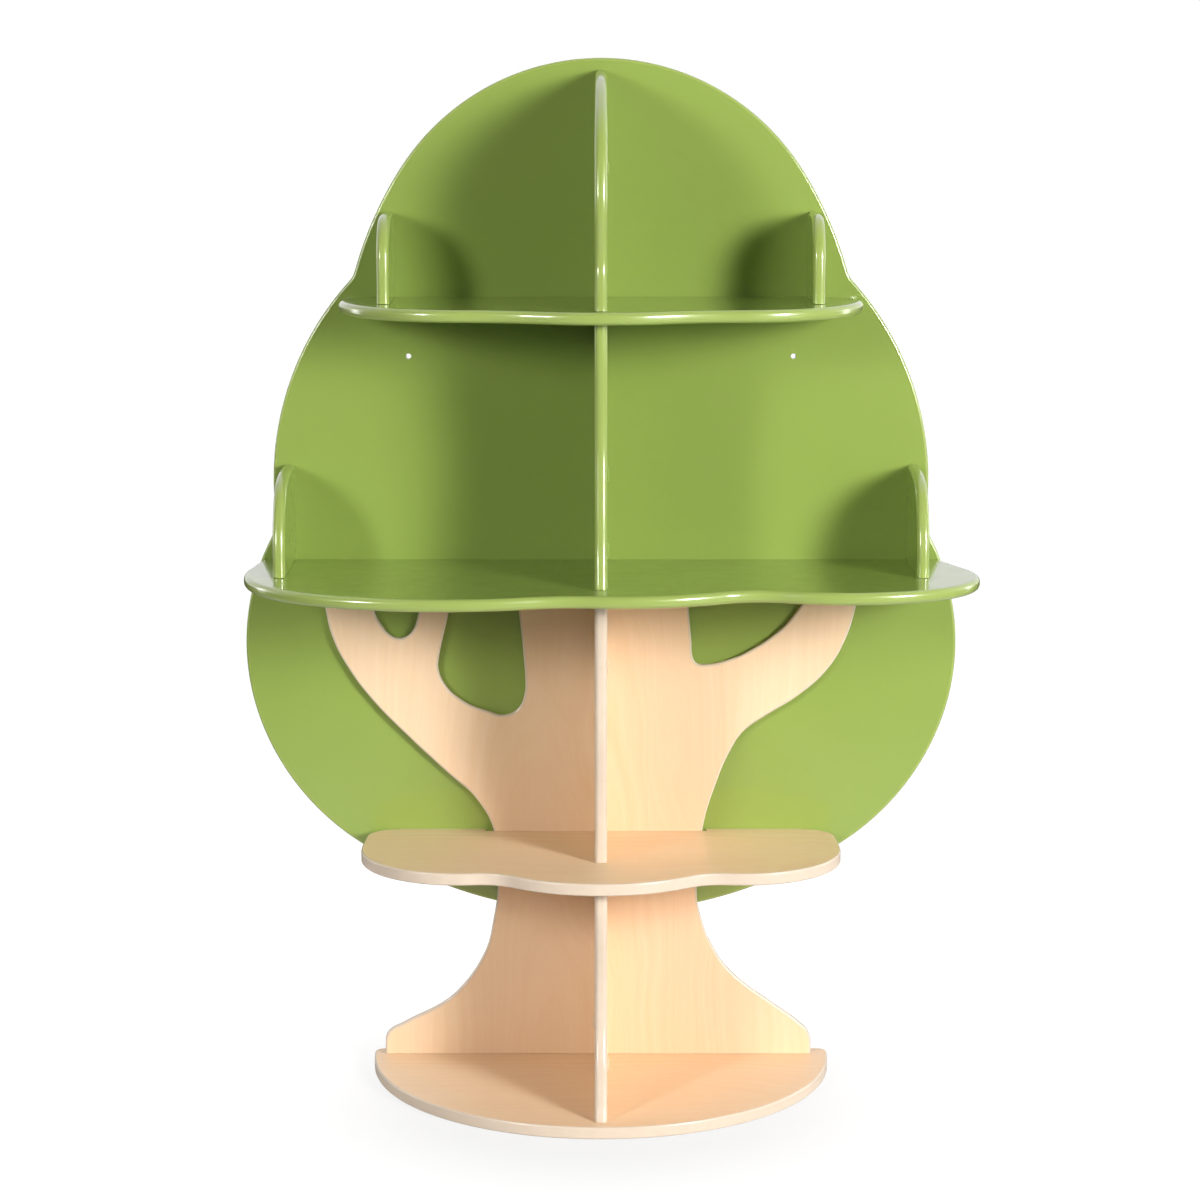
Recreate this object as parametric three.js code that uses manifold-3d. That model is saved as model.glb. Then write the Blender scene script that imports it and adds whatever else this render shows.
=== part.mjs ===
// A bookshelf in the shape of a tree: a green three-lobed crown panel with a maple trunk board on its
// front, three shelves with lobed front edges, a half-moon base, and upright dividers between them.
// Millimetres. +X is right, -Y is toward the viewer, +Z is up.
// The boards are laid out from the front face of the crown panel, and the whole tree is then moved
// so that the origin lies on the floor under the middle of the base board.

import * as THREE from "three";
import { mergeVertices, toCreasedNormals } from "three/addons/utils/BufferGeometryUtils.js";
import Module from "manifold-3d";

const wasm = await Module();
wasm.setup();

// Board stock and edges
const boardThickness = 18;
const trunkThickness = 12;
const greenEdgeRadius = 7.5;
const mapleEdgeRadius = 3;
const mapleDividerEdgeRadius = 6.5;
const crownEdgeRadius = 4;
const trunkEdgeRadius = 3;
const jointGap = 0.3; // between boards that are screwed together
const holeClearance = 0.3; // around a fitting in its hole

// Clear heights of the bays, from the base board up
const baseBayHeight = 332;
const lowerBayHeight = 394;
const middleBayHeight = 372;

// Crown panel: the right half of its lobes, as circles in the plane of the panel
const crownTopRadius = 349;
const crownTopDrop = 4; // of the top lobe's centre below the top shelf
const crownFlankRadius = 560;
const crownFlankStart = THREE.MathUtils.degToRad(33);
const crownMiddleRadius = 440;
const crownMiddleOut = 45;
const crownMiddleRise = 115; // above the middle shelf
const crownLowerRadius = 350;
const crownLowerOut = 180;
const crownLowerDrop = 130; // below the middle shelf
const crownHipRadius = 375;
const crownHipStart = THREE.MathUtils.degToRad(-21.5);
const crownBottomRadius = 654;
const crownUpperHollow = 37;
const crownLowerHollow = 25;
const wallHoleRadius = 4;
const wallHoleOut = 283;
const wallHoleDrop = 87.5; // below the top shelf

// Base board
const baseRadius = 345;
const baseCornerRadius = 14;

// Trunk board: how far its edges lie from the middle line, and the widths between its forks
const trunkWaistDrop = 102; // below the lower shelf
const trunkWaistLeft = 157;
const trunkWaistRight = 145;
const trunkFootInsetLeft = 17; // inside the rim of the base
const trunkFootInsetRight = 26;
const trunkReachLeft = 420;
const trunkReachRight = 388;
const trunkCrotchLeft = 127;
const trunkCrotchRight = 126;
const leftBranchWidth = 70;
const rightBranchWidth = 68;
const twigWidth = 46;
const largeForkWidth = 89;
const smallForkDepth = 99;
const largeForkDepth = 216;
const rightForkDepth = 139;

// Shelves: circles in plan. A side lobe stands past the rim of the crown by its overhang, or short
// of it where that is negative.
const topShelfSide = { overhang: -9.5, forward: 58, radius: 187.5 };
const topShelfCornerRadius = 60;
const topShelfCentre = { forward: 68.5, radius: 218 };
const topShelfHollow = 300;
const middleShelfLeftEnd = { overhang: 12.5, forward: 110, radius: 223 };
const middleShelfLeftFront = { radius: 386, turn: THREE.MathUtils.degToRad(-117.5) };
const middleShelfCentre = { out: 28, forward: 49, radius: 278 };
const middleShelfRightFront = { radius: 238, turn: THREE.MathUtils.degToRad(-57) };
const middleShelfRightEnd = { overhang: 41.5, forward: 135, radius: 148 };
const middleShelfLeftHollow = 187;
const middleShelfRightHollow = 112;
const lowerShelfSide = { out: 203, forward: 113, radius: 150 };
const lowerShelfFlankRadius = 900;
const lowerShelfCornerRadius = 45;
const lowerShelfCentre = { forward: 118.5, radius: 202 };
const lowerShelfHollow = 72;

// Dividers: how far each centre divider stays behind the front of its shelf
const topDividerInset = 20.5;
const topDividerDrop = 17; // from the crown's top edge to the divider's tip
const upperDividerInset = 52;
const lowerDividerInset = 65;
const baseDividerInset = 19;
const topSideDivider = { inset: 78.5, reach: 144, height: 124 }; // in from the rim of the crown
const middleSideDivider = { inset: 43, reach: 172, height: 142.5 };

// Cam fittings: a cam lying in the side of a divider pulls on a bolt set in the next board
const camRadius = 7.5;
const camDepth = 12.5;
const camSetback = 34;
const camBoltRadius = 3;
const camBoltNeck = 2.2;
const camBoltHead = 4;
const camThreadRadius = 2.5;
const camThreadLength = 10.5;
const capRadius = 11;
const capThickness = 2.6;
const capChamfer = 1.3;
const topDividerCamRise = 185; // above the foot of the divider, for the cams at the back edge
const upperDividerCamRise = 132;
const lowerDividerCamRise = 258;
const baseDividerCamRise = 62;
const upperFootCamOut = 130; // in front of the back edge, for the cams at the foot
const baseFootCamOut = 150;

// Screws
const boardScrew = { head: 5, headHeight: 4, shank: 3.5, length: 50, tip: 4 };
const trunkScrew = { head: 4, headHeight: 3, shank: 2, length: 26, tip: 3 };
const footScrew = { head: 4, headHeight: 3, shank: 2, length: 50, tip: 3 };
const topShelfScrewInset = 120; // in from the rim of the crown
const middleShelfScrewInset = 105;
const middleShelfInnerScrewOut = 140;
const lowerShelfScrewMargin = 26; // outside the trunk
const trunkLowScrewOut = 100;
const trunkLowScrewDrop = 68; // below the lower shelf
const trunkHighScrewOut = 60;
const trunkHighScrewDrop = 122; // below the end of the branches
const branchScrewInset = 30; // from the end of a branch, inward and downward
const sideDividerScrewRise = 55;
const sideDividerFootOut = 75;
const dividerFootOut = 120;
const trunkFootScrewInset = 115; // inside the rim of the base

// Modelling tolerances
const facetDepth = 0.4; // the most that a flat facet lies inside its curve
const overrun = 30; // how far outlines and cuts run past what trims them
const weldDistance = 0.001;
const farShare = 6; // of the overall height, for cuts that run past every board
const curveSamples = 240;
const fullRoundSteps = 2;
const easedEdgeSteps = 2;
const turnedSides = 10;
const creaseAngle = THREE.MathUtils.degToRad(40);

// Places that several boards share
const shelfUnderside = (top) => top - boardThickness;
const lowerShelfTop = boardThickness + baseBayHeight + boardThickness;
const middleShelfTop = lowerShelfTop + lowerBayHeight + boardThickness;
const topShelfTop = middleShelfTop + middleBayHeight + boardThickness;
const overallHeight = topShelfTop - crownTopDrop + crownTopRadius;
const trunkBack = jointGap;
const trunkFront = trunkBack + trunkThickness;
const trunkTop = shelfUnderside(middleShelfTop) - jointGap;
const trunkBottom = boardThickness + jointGap;
const far = farShare * overallHeight;

// Solids

// A closed mesh as a solid for cutting and joining.
function solidOf(geometry) {
  const bare = geometry.index ? geometry.toNonIndexed() : geometry.clone();
  bare.deleteAttribute("normal");
  bare.deleteAttribute("uv");
  const welded = mergeVertices(bare, weldDistance);
  return new wasm.Manifold(
    new wasm.Mesh({
      numProp: 3,
      vertProperties: welded.attributes.position.array,
      triVerts: new Uint32Array(welded.index.array),
    }),
  );
}

// A solid as geometry, smooth over its rounded edges and crisp at its corners.
function geometryOf(solid) {
  const mesh = solid.getMesh();
  const geometry = new THREE.BufferGeometry();
  geometry.setAttribute("position", new THREE.BufferAttribute(mesh.vertProperties, 3));
  geometry.setIndex(new THREE.BufferAttribute(mesh.triVerts, 1));
  return toCreasedNormals(geometry, creaseAngle);
}

// A box between two corners.
function block(low, high) {
  const size = high.map((value, axis) => value - low[axis]);
  const middle = high.map((value, axis) => (value + low[axis]) / 2);
  return new THREE.BoxGeometry(...size).translate(...middle);
}

// An outline cut from a board of some thickness, with its edges rounded on both faces. The board
// lies in its own XY plane, half its thickness to each side.
function roundedBoard(outline, thickness, edgeRadius, steps) {
  const core = thickness - 2 * edgeRadius;
  const geometry = new THREE.ExtrudeGeometry(new THREE.Shape(outline), {
    depth: core,
    bevelThickness: edgeRadius,
    bevelSize: edgeRadius,
    bevelOffset: -edgeRadius,
    bevelSegments: steps,
  });
  return solidOf(geometry.translate(0, 0, -core / 2));
}

// Keeps what lies between two corners, so that an edge there comes out square.
function trimmed(solid, low, high) {
  return solid.intersect(solidOf(block(low, high)));
}

// A turned piece along +Y, from its profile of [radius, height] pairs.
function turned(profile) {
  return new THREE.LatheGeometry(
    profile.map(([radius, height]) => new THREE.Vector2(radius, height)),
    turnedSides,
  );
}

// Curves

const point = (x, y) => new THREE.Vector2(x, y);
const lobe = (x, y, radius) => ({ x, y, radius });
const mirrored = ({ x, y, radius }) => lobe(-x, y, radius);

// The direction of a place, or of another circle's centre, from a circle's centre.
function bearing(circle, place) {
  return Math.atan2(place.y - circle.y, place.x - circle.x);
}

function onCircle(circle, angle) {
  return point(
    circle.x + circle.radius * Math.cos(angle),
    circle.y + circle.radius * Math.sin(angle),
  );
}

// The next angle that equals this one at or after the start, or at or before it.
const turn = 2 * Math.PI;
const angleAfter = (angle, start) => angle + turn * Math.ceil((start - angle) / turn);
const angleBefore = (angle, start) => angle - turn * Math.ceil((angle - start) / turn);

// Points along an arc, close enough for the facet depth, without its last one.
function arcPoints(circle, from, to) {
  const step = 2 * Math.acos(1 - facetDepth / circle.radius);
  const count = Math.max(2, Math.ceil(Math.abs(to - from) / step));
  return Array.from({ length: count }, (_, i) => onCircle(circle, from + ((to - from) * i) / count));
}

// The circle that runs on from another at some angle with a new radius and no kink.
function continuedLobe(circle, angle, radius) {
  const offset = circle.radius - radius;
  return lobe(circle.x + offset * Math.cos(angle), circle.y + offset * Math.sin(angle), radius);
}

// The circle of the hollow between two lobes, on the right of the way from one to the other.
function hollowBetween(first, second, radius) {
  const span = Math.hypot(second.x - first.x, second.y - first.y);
  const reachFirst = first.radius + radius;
  const reachSecond = second.radius + radius;
  const along = (reachFirst ** 2 - reachSecond ** 2 + span ** 2) / (2 * span);
  const aside = Math.sqrt(reachFirst ** 2 - along ** 2);
  const alongX = (second.x - first.x) / span;
  const alongY = (second.y - first.y) / span;
  return lobe(
    first.x + along * alongX + aside * alongY,
    first.y + along * alongY - aside * alongX,
    radius,
  );
}

// The angle at which two circles that touch from inside meet.
function meetingAngle(first, second) {
  return first.radius > second.radius ? bearing(first, second) : bearing(second, first);
}

// An anticlockwise outline along a row of lobes. hollows[i] is the radius of the hollow between lobe
// i and the next, or zero where one lobe runs on into the next.
function lobedOutline(lobes, hollows, startAngle, endAngle) {
  const points = [];
  let from = startAngle;
  hollows.forEach((radius, i) => {
    const current = lobes[i];
    const next = lobes[i + 1];
    if (radius === 0) {
      const to = angleAfter(meetingAngle(current, next), from);
      points.push(...arcPoints(current, from, to));
      from = to;
      return;
    }
    const hollow = hollowBetween(current, next, radius);
    const leave = angleAfter(bearing(current, hollow), from);
    const hollowStart = bearing(hollow, current);
    points.push(...arcPoints(current, from, leave));
    points.push(...arcPoints(hollow, hollowStart, angleBefore(bearing(hollow, next), hollowStart)));
    from = bearing(next, hollow);
  });
  const last = lobes[lobes.length - 1];
  points.push(...arcPoints(last, from, angleAfter(endAngle, from)));
  return points;
}

// A smooth curve through a few places, as the points that the facet depth needs.
function smoothPoints(places) {
  const curve = new THREE.CatmullRomCurve3(places.map(([x, y]) => new THREE.Vector3(x, y, 0)));
  const samples = curve.getPoints(curveSamples).map(({ x, y }) => point(x, y));
  const kept = (from, to) => {
    const chord = samples[to].clone().sub(samples[from]);
    const depths = samples
      .slice(from + 1, to)
      .map((sample) => Math.abs(chord.cross(sample.clone().sub(samples[from]))) / chord.length());
    const deepest = Math.max(0, ...depths);
    if (deepest <= facetDepth) return [samples[from]];
    const split = from + 1 + depths.indexOf(deepest);
    return [...kept(from, split), ...kept(split, to)];
  };
  return [...kept(0, curveSamples), samples[curveSamples]];
}

// Crown panel

const crownTopLobe = lobe(0, topShelfTop - crownTopDrop, crownTopRadius);
const crownLowerLobe = lobe(crownLowerOut, middleShelfTop - crownLowerDrop, crownLowerRadius);
const crownHipLobe = continuedLobe(crownLowerLobe, crownHipStart, crownHipRadius);
const crownMiddleLobe = lobe(crownMiddleOut, middleShelfTop + crownMiddleRise, crownMiddleRadius);
const crownFlankLobe = continuedLobe(crownTopLobe, crownFlankStart, crownFlankRadius);

function crownOutline() {
  const bottomTurn = -Math.acos(crownHipLobe.x / (crownBottomRadius - crownHipRadius));
  const bottomLobe = continuedLobe(crownHipLobe, bottomTurn, crownBottomRadius);
  const rising = [crownHipLobe, crownLowerLobe, crownMiddleLobe, crownFlankLobe];
  const falling = rising.map(mirrored).reverse();
  return lobedOutline(
    [bottomLobe, ...rising, crownTopLobe, ...falling, bottomLobe],
    [0, 0, crownLowerHollow, crownUpperHollow, 0, 0, crownUpperHollow, crownLowerHollow, 0, 0],
    -Math.PI / 2,
    -Math.PI / 2,
  );
}

// How far the crown's rim lies from the middle line at some height.
function crownHalfWidth(height) {
  const reaches = [crownTopLobe, crownFlankLobe, crownMiddleLobe, crownLowerLobe]
    .filter(({ y, radius }) => Math.abs(height - y) < radius)
    .filter((circle) => circle !== crownFlankLobe || height < onCircle(crownTopLobe, crownFlankStart).y)
    .map(({ x, y, radius }) => x + Math.sqrt(radius ** 2 - (height - y) ** 2));
  return Math.max(...reaches);
}

function crownSolid() {
  const panel = roundedBoard(crownOutline(), boardThickness, crownEdgeRadius, easedEdgeSteps);
  const bore = new THREE.CylinderGeometry(wallHoleRadius, wallHoleRadius, far, turnedSides);
  bore.rotateX(Math.PI / 2);
  const height = topShelfTop - wallHoleDrop;
  return [-1, 1].reduce(
    (solid, side) => solid.subtract(solidOf(bore.clone().translate(side * wallHoleOut, height, 0))),
    panel,
  );
}

const topRim = crownHalfWidth(topShelfTop);
const middleRim = crownHalfWidth(middleShelfTop);

// Trunk board

const trunkWaistHeight = lowerShelfTop - trunkWaistDrop;
const largeForkLeft = -trunkCrotchLeft - largeForkWidth;
const smallFork = {
  left: leftBranchWidth - trunkReachLeft,
  right: largeForkLeft - twigWidth,
  depth: smallForkDepth,
};
const largeFork = { left: largeForkLeft, right: -trunkCrotchLeft, depth: largeForkDepth };
const rightFork = {
  left: trunkCrotchRight,
  right: trunkReachRight - rightBranchWidth,
  depth: rightForkDepth,
};

// Its edges, from the foot up to the waist and on to the branch, as shares of the way out from the
// waist and of the way up.
const leftFootShares = [
  [1, 0],
  [1, 0.07],
  [0.991, 0.116],
  [0.951, 0.154],
  [0.848, 0.192],
  [0.744, 0.231],
  [0.628, 0.269],
  [0.525, 0.307],
  [0.405, 0.365],
  [0.298, 0.4415],
  [0.214, 0.517],
  [0.149, 0.593],
  [0.085, 0.689],
  [0.057, 0.765],
  [0.037, 0.841],
  [0.016, 0.92],
];
const leftBranchShares = [
  [0, 0],
  [0.013, 0.2],
  [0.12, 0.308],
  [0.264, 0.379],
  [0.482, 0.489],
  [0.696, 0.607],
  [0.838, 0.71],
  [0.924, 0.802],
  [0.963, 0.89],
  [1, 1],
];
const rightFootShares = [
  [1, 0],
  [1, 0.085],
  [0.99, 0.116],
  [0.964, 0.154],
  [0.895, 0.2],
  [0.844, 0.231],
  [0.768, 0.269],
  [0.691, 0.307],
  [0.575, 0.365],
  [0.426, 0.4415],
  [0.306, 0.517],
  [0.212, 0.593],
  [0.125, 0.7],
  [0.08, 0.765],
  [0.046, 0.841],
  [0.018, 0.915],
];
const rightBranchShares = [
  [0, 0],
  [0.028, 0.2],
  [0.128, 0.371],
  [0.205, 0.458],
  [0.281, 0.514],
  [0.409, 0.56],
  [0.611, 0.623],
  [0.782, 0.698],
  [0.902, 0.796],
  [0.966, 0.903],
  [1, 1],
];

// The forks between the branches, as shares of the way across from left to right and of the depth.
const smallForkShares = [
  [0, 0],
  [0.148, 0.596],
  [0.273, 0.818],
  [0.42, 0.96],
  [0.545, 1],
  [0.68, 0.97],
  [0.795, 0.87],
  [0.865, 0.7],
  [1, 0],
];
const largeForkShares = [
  [0, 0],
  [-0.124, 0.287],
  [-0.236, 0.49],
  [-0.29, 0.6],
  [-0.3, 0.67],
  [-0.19, 0.787],
  [0.124, 0.903],
  [0.528, 0.972],
  [0.798, 1],
  [1.034, 0.954],
  [1.146, 0.843],
  [1.157, 0.75],
  [1.124, 0.556],
  [1, 0],
];
const rightForkShares = [
  [0, 0],
  [0.021, 0.374],
  [0.046, 0.755],
  [0.056, 0.92],
  [0.085, 0.985],
  [0.145, 1],
  [0.371, 0.928],
  [0.52, 0.827],
  [0.675, 0.683],
  [0.82, 0.482],
  [1, 0],
];

// One edge of the trunk from foot to branch, at a distance out from the middle line.
function trunkEdge(foot, waist, reach, footShares, branchShares) {
  const waistRise = trunkWaistHeight - trunkBottom;
  const branchRise = trunkTop - trunkWaistHeight;
  return smoothPoints([
    ...footShares.map(([out, up]) => [waist + out * (foot - waist), trunkBottom + up * waistRise]),
    ...branchShares.map(([out, up]) => [
      waist + out * (reach - waist),
      trunkWaistHeight + up * branchRise,
    ]),
  ]);
}

const trunkLeftEdge = trunkEdge(
  baseRadius - trunkFootInsetLeft,
  trunkWaistLeft,
  trunkReachLeft,
  leftFootShares,
  leftBranchShares,
);
const trunkRightEdge = trunkEdge(
  baseRadius - trunkFootInsetRight,
  trunkWaistRight,
  trunkReachRight,
  rightFootShares,
  rightBranchShares,
);

// The outline of a fork, from its right side down and round to its left side.
function forkPoints({ left, right, depth }, shares) {
  const places = shares.map(([across, down]) => [left + across * (right - left), trunkTop - down * depth]);
  return carriedPast(smoothPoints(places)).reverse();
}

// The same points with both ends carried on straight up or down by the overrun.
function carriedPast(points) {
  const first = points[0];
  const last = points[points.length - 1];
  const above = (place, next) => point(place.x, place.y + Math.sign(place.y - next.y) * overrun);
  return [above(first, points[1]), ...points, above(last, points[points.length - 2])];
}

function trunkSolid() {
  const leftEdge = trunkLeftEdge.map(({ x, y }) => point(-x, y));
  const outline = [
    ...carriedPast(trunkRightEdge),
    ...forkPoints(rightFork, rightForkShares),
    ...forkPoints(largeFork, largeForkShares),
    ...forkPoints(smallFork, smallForkShares),
    ...carriedPast(leftEdge).reverse(),
  ];
  const board = roundedBoard(outline, trunkThickness, trunkEdgeRadius, easedEdgeSteps);
  return trimmed(board, [-far, trunkBottom, -far], [far, trunkTop, far]);
}

// The most that an edge of the trunk stands out between two heights.
function trunkWidest(edge, low, high) {
  return Math.max(...edge.filter(({ y }) => y > low - overrun && y < high + overrun).map(({ x }) => x));
}

// Shelves

// A shelf in plan, square along its back edge, with every other edge rounded.
function shelfSolid(outline, edgeRadius) {
  const board = roundedBoard(outline, boardThickness, edgeRadius, fullRoundSteps);
  return trimmed(board, [-far, -far, -far], [far, -jointGap, far]);
}

// The angle at which the straight edge from a back corner meets an end lobe.
function cornerAngle(end, cornerX) {
  const corner = point(cornerX, 0);
  const spread = Math.acos(end.radius / Math.hypot(corner.x - end.x, corner.y - end.y));
  return bearing(end, corner) - Math.sign(cornerX) * spread;
}

// A back corner, carried on past the back edge along the straight edge that comes from an end lobe.
function carriedCorner(end, cornerX) {
  const corner = point(cornerX, 0);
  const direction = corner.clone().sub(onCircle(end, cornerAngle(end, cornerX)));
  return corner.add(direction.setLength(overrun));
}

// A round back corner that runs on from a flank of a shelf on the right and ends flush with the
// back edge.
function backCorner(flank, radius) {
  const turnBack = Math.asin((-flank.y - radius) / (flank.radius - radius));
  return continuedLobe(flank, turnBack, radius);
}

// The outline of a symmetric shelf with round back corners, from its centre lobe, its hollows and
// the circles of its right side.
function roundCornered(centre, hollow, rightSide) {
  const leftSide = rightSide.map(mirrored).reverse();
  const runsOn = rightSide.slice(1).map(() => 0);
  const corner = rightSide[rightSide.length - 1];
  return [
    point(-corner.x, overrun),
    ...lobedOutline(
      [...leftSide, centre, ...rightSide],
      [...runsOn, hollow, hollow, ...runsOn],
      Math.PI / 2,
      Math.PI / 2,
    ),
    point(corner.x, overrun),
  ];
}

// The end lobe of a shelf on the right, standing past the rim of the crown.
const endLobe = (rim, { overhang, forward, radius }) => lobe(rim + overhang - radius, -forward, radius);

function topShelfSolid() {
  const side = endLobe(topRim, topShelfSide);
  const centre = lobe(0, -topShelfCentre.forward, topShelfCentre.radius);
  const rightSide = [side, backCorner(side, topShelfCornerRadius)];
  return shelfSolid(roundCornered(centre, topShelfHollow, rightSide), greenEdgeRadius);
}

function middleShelfSolid() {
  const leftEnd = mirrored(endLobe(middleRim, middleShelfLeftEnd));
  const leftFront = continuedLobe(leftEnd, middleShelfLeftFront.turn, middleShelfLeftFront.radius);
  const centre = lobe(middleShelfCentre.out, -middleShelfCentre.forward, middleShelfCentre.radius);
  const rightEnd = endLobe(middleRim, middleShelfRightEnd);
  const rightFront = continuedLobe(rightEnd, middleShelfRightFront.turn, middleShelfRightFront.radius);
  const outline = [
    carriedCorner(leftEnd, -middleRim),
    ...lobedOutline(
      [leftEnd, leftFront, centre, rightFront, rightEnd],
      [0, middleShelfLeftHollow, middleShelfRightHollow, 0],
      cornerAngle(leftEnd, -middleRim),
      cornerAngle(rightEnd, middleRim),
    ),
    carriedCorner(rightEnd, middleRim),
  ];
  return shelfSolid(outline, greenEdgeRadius);
}

// The lower shelf runs round the trunk, in a notch cut into its back edge: how far it goes out on
// the left and on the right.
const lowerNotch = [trunkLeftEdge, trunkRightEdge].map(
  (edge) => trunkWidest(edge, shelfUnderside(lowerShelfTop), lowerShelfTop) + jointGap,
);

function lowerShelfSolid() {
  const side = lobe(lowerShelfSide.out, -lowerShelfSide.forward, lowerShelfSide.radius);
  const flank = continuedLobe(side, 0, lowerShelfFlankRadius);
  const centre = lobe(0, -lowerShelfCentre.forward, lowerShelfCentre.radius);
  const rightSide = [side, flank, backCorner(flank, lowerShelfCornerRadius)];
  const board = shelfSolid(roundCornered(centre, lowerShelfHollow, rightSide), mapleEdgeRadius);
  const [notchLeft, notchRight] = lowerNotch;
  const notch = block([-notchLeft, -trunkFront - jointGap, -far], [notchRight, far, far]);
  return board.subtract(solidOf(notch));
}

// Base board: a half disc, carried back to the rear face of the crown

function baseSolid() {
  const middle = lobe(0, 0, baseRadius);
  const right = lobe(baseRadius - baseCornerRadius, boardThickness - baseCornerRadius, baseCornerRadius);
  const outline = [
    ...arcPoints(middle, -Math.PI, 0),
    ...arcPoints(right, 0, Math.PI / 2),
    point(right.x, boardThickness),
    ...arcPoints(mirrored(right), Math.PI / 2, Math.PI),
  ];
  return roundedBoard(outline, boardThickness, mapleEdgeRadius, easedEdgeSteps);
}

// Dividers: in its own frame each lies with X forward from its back edge and Y up from its foot

// Front edges, as shares of the foot's reach and of the height.
const topDividerShares = [
  [1, 0],
  [0.955, 0.09],
  [0.925, 0.2],
  [0.965, 0.32],
  [1, 0.42],
  [0.985, 0.56],
  [0.93, 0.68],
  [0.8, 0.8],
  [0.62, 0.88],
  [0.4, 0.945],
  [0.2, 0.98],
  [0, 1],
];
const upperDividerShares = [
  [1, 0],
  [0.955, 0.13],
  [0.93, 0.27],
  [0.905, 0.4],
  [0.885, 0.54],
  [0.9, 0.7],
  [0.935, 0.85],
  [0.94, 1],
];
const lowerDividerShares = [
  [0.765, 0],
  [0.75, 0.12],
  [0.775, 0.28],
  [0.84, 0.44],
  [0.86, 0.58],
  [0.87, 0.72],
  [0.93, 0.86],
  [1, 1],
];
const baseDividerShares = [
  [1, 0],
  [0.95, 0.1],
  [0.86, 0.25],
  [0.81, 0.4],
  [0.8, 0.55],
  [0.83, 0.7],
  [0.87, 0.85],
  [0.88, 1],
];
const topSideDividerShares = [
  [1, 0],
  [1, 0.45],
  [0.985, 0.6],
  [0.93, 0.74],
  [0.84, 0.86],
  [0.74, 0.94],
  [0.6, 0.985],
  [0.4, 1],
  [0, 1],
];
const middleSideDividerShares = [
  [1, 0],
  [1, 0.2],
  [0.97, 0.42],
  [0.91, 0.6],
  [0.83, 0.76],
  [0.72, 0.88],
  [0.56, 0.955],
  [0.35, 0.99],
  [0, 1],
];

// A divider with a rounded front edge, square where it meets its neighbours.
function dividerSolid(reach, height, shares, edgeRadius) {
  const front = smoothPoints(shares.map(([out, up]) => [out * reach, up * height]));
  const foot = front[0];
  const head = front[front.length - 1];
  const meetsCrown = head.x < overrun;
  const outline = [
    point(-overrun, -overrun),
    point(foot.x, -overrun),
    ...front,
    meetsCrown ? point(-overrun, head.y) : point(head.x, head.y + overrun),
    ...(meetsCrown ? [] : [point(-overrun, head.y + overrun)]),
  ];
  const board = roundedBoard(outline, boardThickness, edgeRadius, fullRoundSteps);
  return trimmed(board, [0, 0, -far], [far, height, far]);
}

// Materials

const greenFoil = () => new THREE.MeshStandardMaterial({ color: 0x8fb04f, roughness: 0.25, metalness: 0 });
const mapleFoil = () => new THREE.MeshStandardMaterial({ color: 0xf3d5a6, roughness: 0.4, metalness: 0 });
const zincSteel = () => new THREE.MeshStandardMaterial({ color: 0xb9bcc0, roughness: 0.35, metalness: 1 });
const greenPlastic = () => new THREE.MeshStandardMaterial({ color: 0x86a748, roughness: 0.4, metalness: 0 });
const beigePlastic = () => new THREE.MeshStandardMaterial({ color: 0xe9d2ae, roughness: 0.45, metalness: 0 });

// Assembly

const tree = new THREE.Group();

// Adds a board, in its own frame, at its place in the tree.
function addBoard(name, solid, material, position, rotation = [0, 0, 0, "XYZ"]) {
  const board = new THREE.Mesh(geometryOf(solid), material);
  board.name = name;
  board.position.set(...position);
  board.rotation.set(...rotation);
  tree.add(board);
  return board;
}

const uprightAcross = [Math.PI / 2, 0, 0, "XYZ"]; // a board's Y up and its Z toward the viewer
const uprightForward = [Math.PI / 2, 0, -Math.PI / 2, "ZYX"]; // X toward the viewer and Y up
const shelfPlace = (top) => [0, 0, top - boardThickness / 2];

const crown = addBoard("crown_panel", crownSolid(), greenFoil(), [0, boardThickness / 2, 0], uprightAcross);
const trunk = addBoard(
  "trunk_panel",
  trunkSolid(),
  mapleFoil(),
  [0, -trunkBack - trunkThickness / 2, 0],
  uprightAcross,
);
const topShelf = addBoard("top_shelf", topShelfSolid(), greenFoil(), shelfPlace(topShelfTop));
const middleShelf = addBoard("middle_shelf", middleShelfSolid(), greenFoil(), shelfPlace(middleShelfTop));
const lowerShelf = addBoard("lower_shelf", lowerShelfSolid(), mapleFoil(), shelfPlace(lowerShelfTop));
const base = addBoard("base_board", baseSolid(), mapleFoil(), shelfPlace(boardThickness));

// Adds a divider that stands on a shelf: a green one has its back edge on the crown, and a maple one
// on the trunk.
function addDivider(name, out, shelfTop, reach, height, shares, isMaple = false) {
  const back = (isMaple ? trunkFront : 0) + jointGap;
  const edgeRadius = isMaple ? mapleDividerEdgeRadius : greenEdgeRadius;
  const solid = dividerSolid(reach - back, height, shares, edgeRadius);
  const material = isMaple ? mapleFoil() : greenFoil();
  return addBoard(name, solid, material, [out, -back, shelfTop + jointGap], uprightForward);
}

// The height that fits between a shelf's top and the underside of the shelf above.
const clearHeight = (below, above) => shelfUnderside(above) - below - 2 * jointGap;

const topShelfFront = topShelfCentre.forward + topShelfCentre.radius;
const middleShelfFront = middleShelfCentre.forward + middleShelfCentre.radius;

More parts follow.
